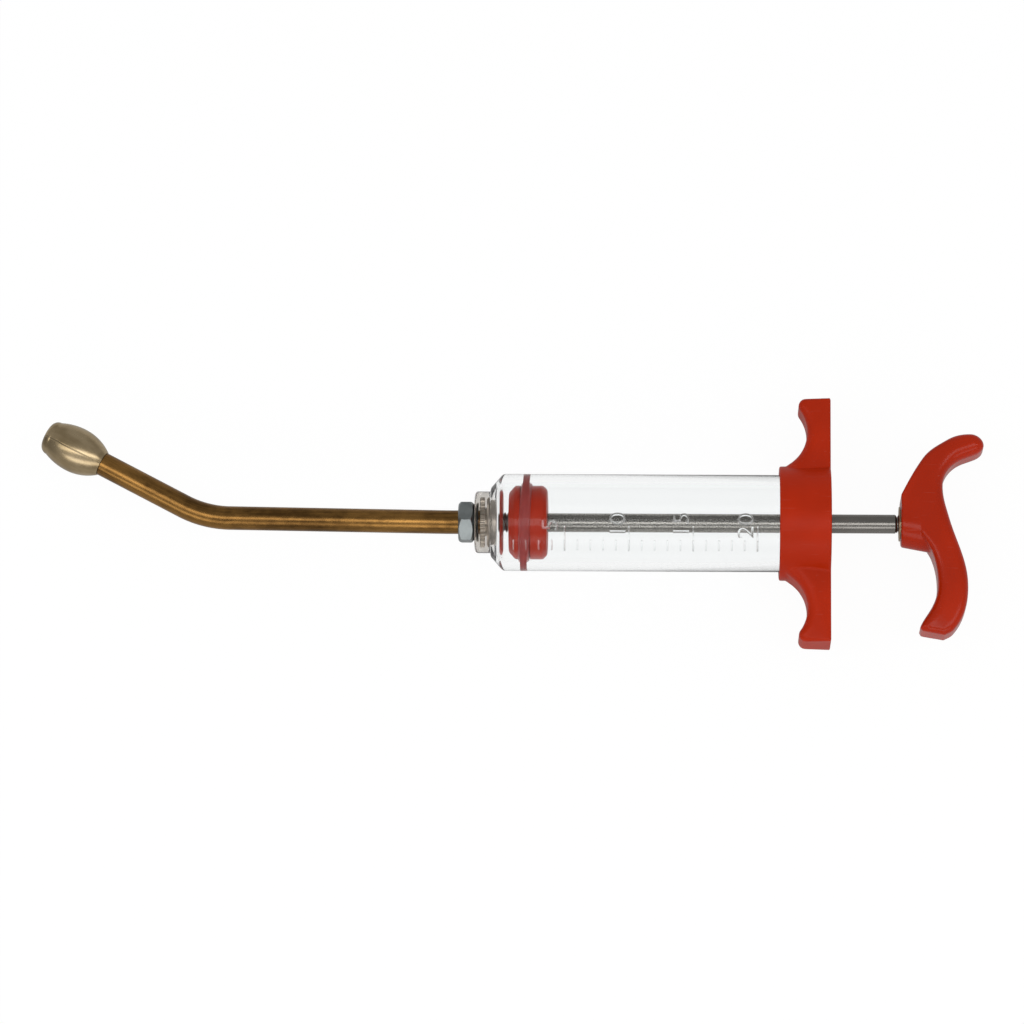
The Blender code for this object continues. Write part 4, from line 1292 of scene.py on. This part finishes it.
class HandleSettings(PropertyGroup):
    breadth: size("Breadth", "Reach of the handle along the rod", 20.7)
    height: size("Height", "Handle between its horns", 51.3)
    depth: size("Depth", "Thickness of the plate at the rod", 11.4)
    edge_radius: size("Edge radius", "Largest rounding of the plate's rims", 2.9)
    tip_thinning: FloatProperty(name="Tip thinning", description="Depth lost towards the horns",
                                default=0.16, subtype='FACTOR')
    boss_face: size("Boss face", "Diameter of the boss at the rod", 11.7)
    boss_length: size("Boss length", "Length of the boss", 9.0)
    boss_drop: size("Boss drop", "How far the boss grows towards the lower horn", 1.7)
    pocket: size("Pocket", "Hole for the insert", 7.0)
    flange: size("Flange", "Diameter of the insert's flange", 8.7)
    flange_thickness: size("Flange thickness", "Thickness of the flange", 0.25)
    brass: tint("Insert brass", "Turned insert", 186, 168, 138)


# The handle's outline as it is drawn for the part: x and y in millimetres from the boss's
# face and axis, the headings in and out in degrees, and the share of the edge radius
HANDLE_OUTLINE = (
    (0.3, -0.6, -90, 0, 0.14),
    (5.0, -0.9, 0, -110, 0.14),
    (4.8, -3.4, -80, -55, 0.28),
    (7.4, -7.6, -62, -68, 0.55),
    (8.95, -16.0, -90, -90, 0.9),
    (7.4, -21.9, -118, -118, 0.9),
    (4.5, -27.0, -112, -60, 0.55),
    (5.2, -27.9, -12, -12, 0.55),
    (10.5, -28.9, -12, 30, 0.62),
    (12.9, -27.4, 50, 50, 0.69),
    (16.4, -16.4, 90, 90, 0.83),
    (11.8, 1.1, 105, 105, 0.83),
    (10.3, 8.9, 90, 90, 0.9),
    (13.6, 15.1, 35, 35, 1.0),
    (18.6, 17.3, 24, 24, 0.97),
    (20.5, 19.6, 90, 90, 0.9),
    (17.3, 22.4, 180, 180, 0.76),
    (11.4, 20.8, 212, 212, 0.62),
    (5.3, 15.8, 236, 236, 0.41),
    (0.3, 7.0, 243, 250, 0.24),
    (0.0, 6.2, 270, 270, 0.17),
)
# Points on each span of the outline, and how far its knobs reach along it
SPAN_POINTS = 12
KNOB_REACH = 0.36


def heading(degrees_):
    """Unit vector in the XY plane."""
    return Vector((cos(radians(degrees_)), sin(radians(degrees_))))


def handle_line(handle):
    """Fine outline of the handle in metres from the boss's face and axis, with its shares."""
    drawn = []
    for i, (x0, y0, _, leave, share0) in enumerate(HANDLE_OUTLINE):
        x1, y1, arrive, _, share1 = HANDLE_OUTLINE[(i + 1) % len(HANDLE_OUTLINE)]
        start, end = Vector((x0, y0)), Vector((x1, y1))
        reach = (end - start).length * KNOB_REACH
        knob0 = start + heading(leave) * reach
        knob1 = end - heading(arrive) * reach
        for j in range(SPAN_POINTS):
            t = j / SPAN_POINTS
            point = (start * (1 - t) ** 3 + knob0 * 3 * t * (1 - t) ** 2
                     + knob1 * 3 * t ** 2 * (1 - t) + end * t ** 3)
            drawn.append((point.x, point.y, share0 + (share1 - share0) * t))
    across = handle.breadth / (max(p[0] for p in drawn) - min(p[0] for p in drawn))
    along = handle.height / (max(p[1] for p in drawn) - min(p[1] for p in drawn))
    return [(x * across, y * along, share) for x, y, share in drawn]


class SYRINGE_OT_palm_handle(Operator):
    """S-shaped palm handle with its boss, and the brass insert in it"""
    bl_idname = "syringe.palm_handle"
    bl_label = "Palm Handle"

    def make_plate(self, handle, face):
        """S-shaped plate, a little thinner towards the horns."""
        face_x = AXIS_POINT.x + face
        line = handle_line(handle)
        outline = [(x + face_x, y) for x, y, _ in line]
        radii = [share * handle.edge_radius for *_, share in line]
        reach = max(abs(y) for _, y, _ in line)
        return plate("red_palm_handle", outline, radii, lambda y: (
            handle.depth / 2 * (1 - handle.tip_thinning * (y / reach) ** 2)))

    def make_boss(self, handle, face):
        """Chamfered disc at the rod, pulled back and down into the plate."""
        chamfer = 0.3 * MM
        side_inset = 0.2 * MM
        round_face = handle.boss_face / 2
        deselect_all()
        bpy.ops.mesh.primitive_circle_add(vertices=SMALL_SEGMENTS, radius=round_face - chamfer,
                                          fill_type='NGON', rotation=(0, pi / 2, 0))
        boss = name_active("handle_boss")
        apply_place(boss)
        edit()
        grow = round_face / (round_face - chamfer)
        pull((chamfer, 0, 0))
        bpy.ops.transform.resize(value=(1, grow, grow), center_override=(0, 0, 0))
        pull((handle.boss_length - chamfer, 0, 0))
        taller = 1 + handle.boss_drop / 2 / round_face
        flatter = (handle.depth / 2 - side_inset) / round_face
        bpy.ops.transform.resize(value=(1, taller, min(flatter, 1)), center_override=(0, 0, 0))
        bpy.ops.transform.translate(value=(0, -handle.boss_drop / 2, 0))
        finish_edit(AXIS_POINT + Vector((face, 0, 0)))
        return boss

    def make_insert(self, handle, piston):
        """Threaded brass insert, whose flange shows on the boss."""
        chamfer = 0.3 * MM
        sunk = 0.25 * MM
        pocket_fit = 0.05 * MM
        front_edge = 0.15 * MM
        rear_edge = 0.1 * MM
        front, rear = span("handle_insert")
        front += sunk
        hole = piston.rear_thread / 2 + CLOSE_FIT
        body = handle.pocket / 2 - pocket_fit
        flange = handle.flange / 2
        flange_end = front + handle.flange_thickness
        insert = turned_piece("flanged_insert", [
            (front, hole + chamfer), (front, flange, front_edge),
            (flange_end, flange, rear_edge), (flange_end, body), (rear, body), (rear, hole),
            (front + chamfer, hole),
        ])
        seat(insert, plated_finish("Turned brass", handle.brass, dull=0.22), "plunger",
             "handle_insert", "handle_insert")

    def execute(self, context):
        handle = context.scene.syringe_handle
        grip = context.scene.syringe_grip
        face = span("palm_handle")[0]
        body = self.make_plate(handle, face)
        combine(body, self.make_boss(handle, face), 'UNION')
        depth = span("handle_insert")[1] + LOOSE_FIT
        pocket = turned_piece("handle_pocket", [
            (face - MM, 0), (face - MM, handle.pocket / 2), (depth, handle.pocket / 2),
            (depth, 0),
        ], closed=False)
        combine(body, pocket, 'DIFFERENCE')
        melt_edges(body, voxel=0.22 * MM)
        # Painted shade: the handle takes the grip's red made darker, a shaded copy of the same
        # moulding
        finish = red_moulding_finish("Red moulding of the handle", darker(grip.red, 0.92),
                                     dull=0.16, shine=0.18)
        seat(body, finish, "plunger", "red_moulding", "palm_handle")
        self.make_insert(handle, context.scene.syringe_piston)
        return {'FINISHED'}


# Stage

class StageSettings(PropertyGroup):
    camera_tilt: turn_angle("Camera tilt", "Lean of the camera towards the lower wing", 13.6)
    camera_yaw: turn_angle("Camera yaw", "Lean of the camera towards the palm handle", 1.5)
    camera_roll: turn_angle("Camera roll", "Turn of the picture", 0.26)
    camera_distance: size("Camera distance", "From the camera to the syringe", 1400)
    picture_width: size("Picture width", "Width of the picture at the syringe", 255.4)
    look_along: size("Look along", "From the bore's end to the picture's middle", 2.873)
    look_above: size("Look above", "From the barrel's axis to the picture's middle", 2.6)
    floor_white: tint("Floor", "Colour of the floor", 245, 245, 245)
    mirrored_floor: tint("Mirrored floor", "Its colour in reflections", 137, 137, 137)
    glow: FloatProperty(name="Glow", description="Share of the floor's white that is its own",
                        default=0.95, min=0.0, max=1.0, subtype='FACTOR')
    mirrored_glow: FloatProperty(name="Mirrored glow", description="That share in reflections",
                                 default=0.4, min=0.0, max=1.0, subtype='FACTOR')
    white_reach: size("White reach", "How far the floor's own white reaches at full", 160)
    white_end: size("White end", "Where that white has faded in reflections", 700)
    sky: FloatProperty(name="Sky", description="Strength of the even light", default=0.72)
    sky_near: FloatProperty(name="Sky near", description="Reflected sky on the camera's side",
                            default=0.5)
    sky_far: FloatProperty(name="Sky far", description="Reflected sky on the other side",
                           default=0.38)
    top_light: FloatProperty(name="Top light", description="Brightness of the upper softbox",
                             default=1.8)
    side_light: FloatProperty(name="Side light", description="Brightness of the low softbox",
                              default=1.2)


def white_floor(stage):
    """Floor that glows white for the camera, less so in reflections and far from the syringe."""
    fading_share = 0.6
    deselect_all()
    bpy.ops.mesh.primitive_plane_add(size=8.0)
    floor = name_active("floor")
    finish = Finish("White floor", Roughness=0.9, Specular_IOR_Level=0.0)
    camera = finish.ray("Camera")
    mirror = finish.ray("Glossy")
    finish.paint(Base_Color=finish.blend(mirror, stage.floor_white, stage.mirrored_floor))
    seen = finish.maths('MAXIMUM', camera + mirror * stage.mirrored_glow,
                        finish.ray("Transmission"))
    away = finish.node("ShaderNodeVectorMath", {0: finish.place()}, "Value", operation='LENGTH')
    near = 1.0 - finish.band(away, stage.white_reach, stage.white_end) * fading_share
    white = finish.node("ShaderNodeEmission", {"Strength": finish.maths('MAXIMUM', camera, near)})
    floor.data.materials.append(finish.cover(seen * stage.glow, white))


def studio_sky(scene, stage):
    """Even white light from all sides. Reflections show it dimmer, most on the far side."""
    near_side = -0.6
    far_side = 0.3
    world = scene.world or bpy.data.worlds.new("Studio")
    scene.world = world
    world.use_nodes = True
    sky = Shading(world.node_tree)
    direction = sky.node("ShaderNodeTexCoord", {}, "Generated")
    side = sky.node("ShaderNodeSeparateXYZ", {"Vector": direction}, "Y")
    mirrored = sky.band(side, near_side, far_side, stage.sky_near, stage.sky_far)
    strength = sky.node("ShaderNodeMix", {"Factor": sky.ray("Glossy"), "A": stage.sky,
                                          "B": mirrored})
    background = world.node_tree.nodes["Background"]
    sky.feed(background, "Color", (1, 1, 1))
    sky.feed(background, "Strength", strength)


def softbox(name, lean, distance, width, height, brightness):
    """Area lamp that leans from overhead towards the lower wing and faces the syringe."""
    watts_per_area = 4
    lamp = bpy.data.lights.new(name, 'AREA')
    lamp.shape = 'RECTANGLE'
    lamp.size = width
    lamp.size_y = height
    lamp.energy = brightness * width * height * watts_per_area
    holder = bpy.data.objects.new(name, lamp)
    bpy.context.collection.objects.link(holder)
    holder.location = AXIS_POINT + Vector((0, -sin(lean), cos(lean))) * distance
    holder.rotation_euler = (lean, 0, 0)
    holder.visible_camera = False


def aim_camera(scene, stage):
    """Camera above the syringe, leaned as in the photograph."""
    sensor = 36
    back = Vector((tan(stage.camera_yaw), -sin(stage.camera_tilt), cos(stage.camera_tilt)))
    back.normalize()
    up = Vector((0, cos(stage.camera_tilt), sin(stage.camera_tilt)))
    right = up.cross(back).normalized()
    up = back.cross(right)
    across = right * cos(stage.camera_roll) + up * sin(stage.camera_roll)
    above = back.cross(across)
    target = AXIS_POINT + Vector((stage.look_along, 0, 0)) + up * stage.look_above
    turned = Matrix((across, above, back)).transposed()
    camera = bpy.data.cameras.new("camera")
    camera.sensor_width = sensor
    camera.lens = sensor * stage.camera_distance / stage.picture_width
    camera.clip_end = 20
    holder = bpy.data.objects.new("camera", camera)
    bpy.context.collection.objects.link(holder)
    holder.matrix_world = (Matrix.Translation(target + back * stage.camera_distance)
                           @ turned.to_4x4())
    scene.camera = holder


class SYRINGE_OT_stage(Operator):
    """White floor, soft studio light and the camera"""
    bl_idname = "syringe.stage"
    bl_label = "Stage"

    def execute(self, context):
        stage = context.scene.syringe_stage
        white_floor(stage)
        studio_sky(context.scene, stage)
        softbox("top_softbox", lean=radians(13), distance=0.8, width=2.0, height=0.26,
                brightness=stage.top_light)
        softbox("low_softbox", lean=radians(58), distance=1.0, width=2.0, height=0.34,
                brightness=stage.side_light)
        aim_camera(context.scene, stage)
        context.scene.view_settings.view_transform = 'Standard'
        return {'FINISHED'}


class SYRINGE_PT_panel(Panel):
    """Steps that build the syringe"""
    bl_label = "Dosing Syringe"
    bl_idname = "SYRINGE_PT_panel"
    bl_space_type = 'VIEW_3D'
    bl_region_type = 'UI'
    bl_category = "Dosing Syringe"

    def draw(self, context):
        for step in STEPS:
            self.layout.operator(step.bl_idname)


STEPS = (
    SYRINGE_OT_nozzle_tube,
    SYRINGE_OT_nozzle_olive,
    SYRINGE_OT_lock_nut,
    SYRINGE_OT_neck_fittings,
    SYRINGE_OT_barrel,
    SYRINGE_OT_scale,
    SYRINGE_OT_piston,
    SYRINGE_OT_rod,
    SYRINGE_OT_finger_grip,
    SYRINGE_OT_palm_handle,
    SYRINGE_OT_stage,
)
SETTINGS = {
    "syringe_nozzle": NozzleSettings,
    "syringe_fittings": FittingSettings,
    "syringe_barrel": BarrelSettings,
    "syringe_piston": PistonSettings,
    "syringe_grip": GripSettings,
    "syringe_handle": HandleSettings,
    "syringe_stage": StageSettings,
}


def register():
    for settings in SETTINGS.values():
        bpy.utils.register_class(settings)
    for step in STEPS:
        bpy.utils.register_class(step)
    bpy.utils.register_class(SYRINGE_PT_panel)
    for name, settings in SETTINGS.items():
        setattr(bpy.types.Scene, name, PointerProperty(type=settings))


def unregister():
    for name in SETTINGS:
        delattr(bpy.types.Scene, name)
    bpy.utils.unregister_class(SYRINGE_PT_panel)
    for step in reversed(STEPS):
        bpy.utils.unregister_class(step)
    for settings in reversed(list(SETTINGS.values())):
        bpy.utils.unregister_class(settings)


def main():
    register()
    for step in STEPS:
        group, name = step.bl_idname.split(".")
        getattr(getattr(bpy.ops, group), name)()
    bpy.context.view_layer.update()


if __name__ == "__main__":
    main()
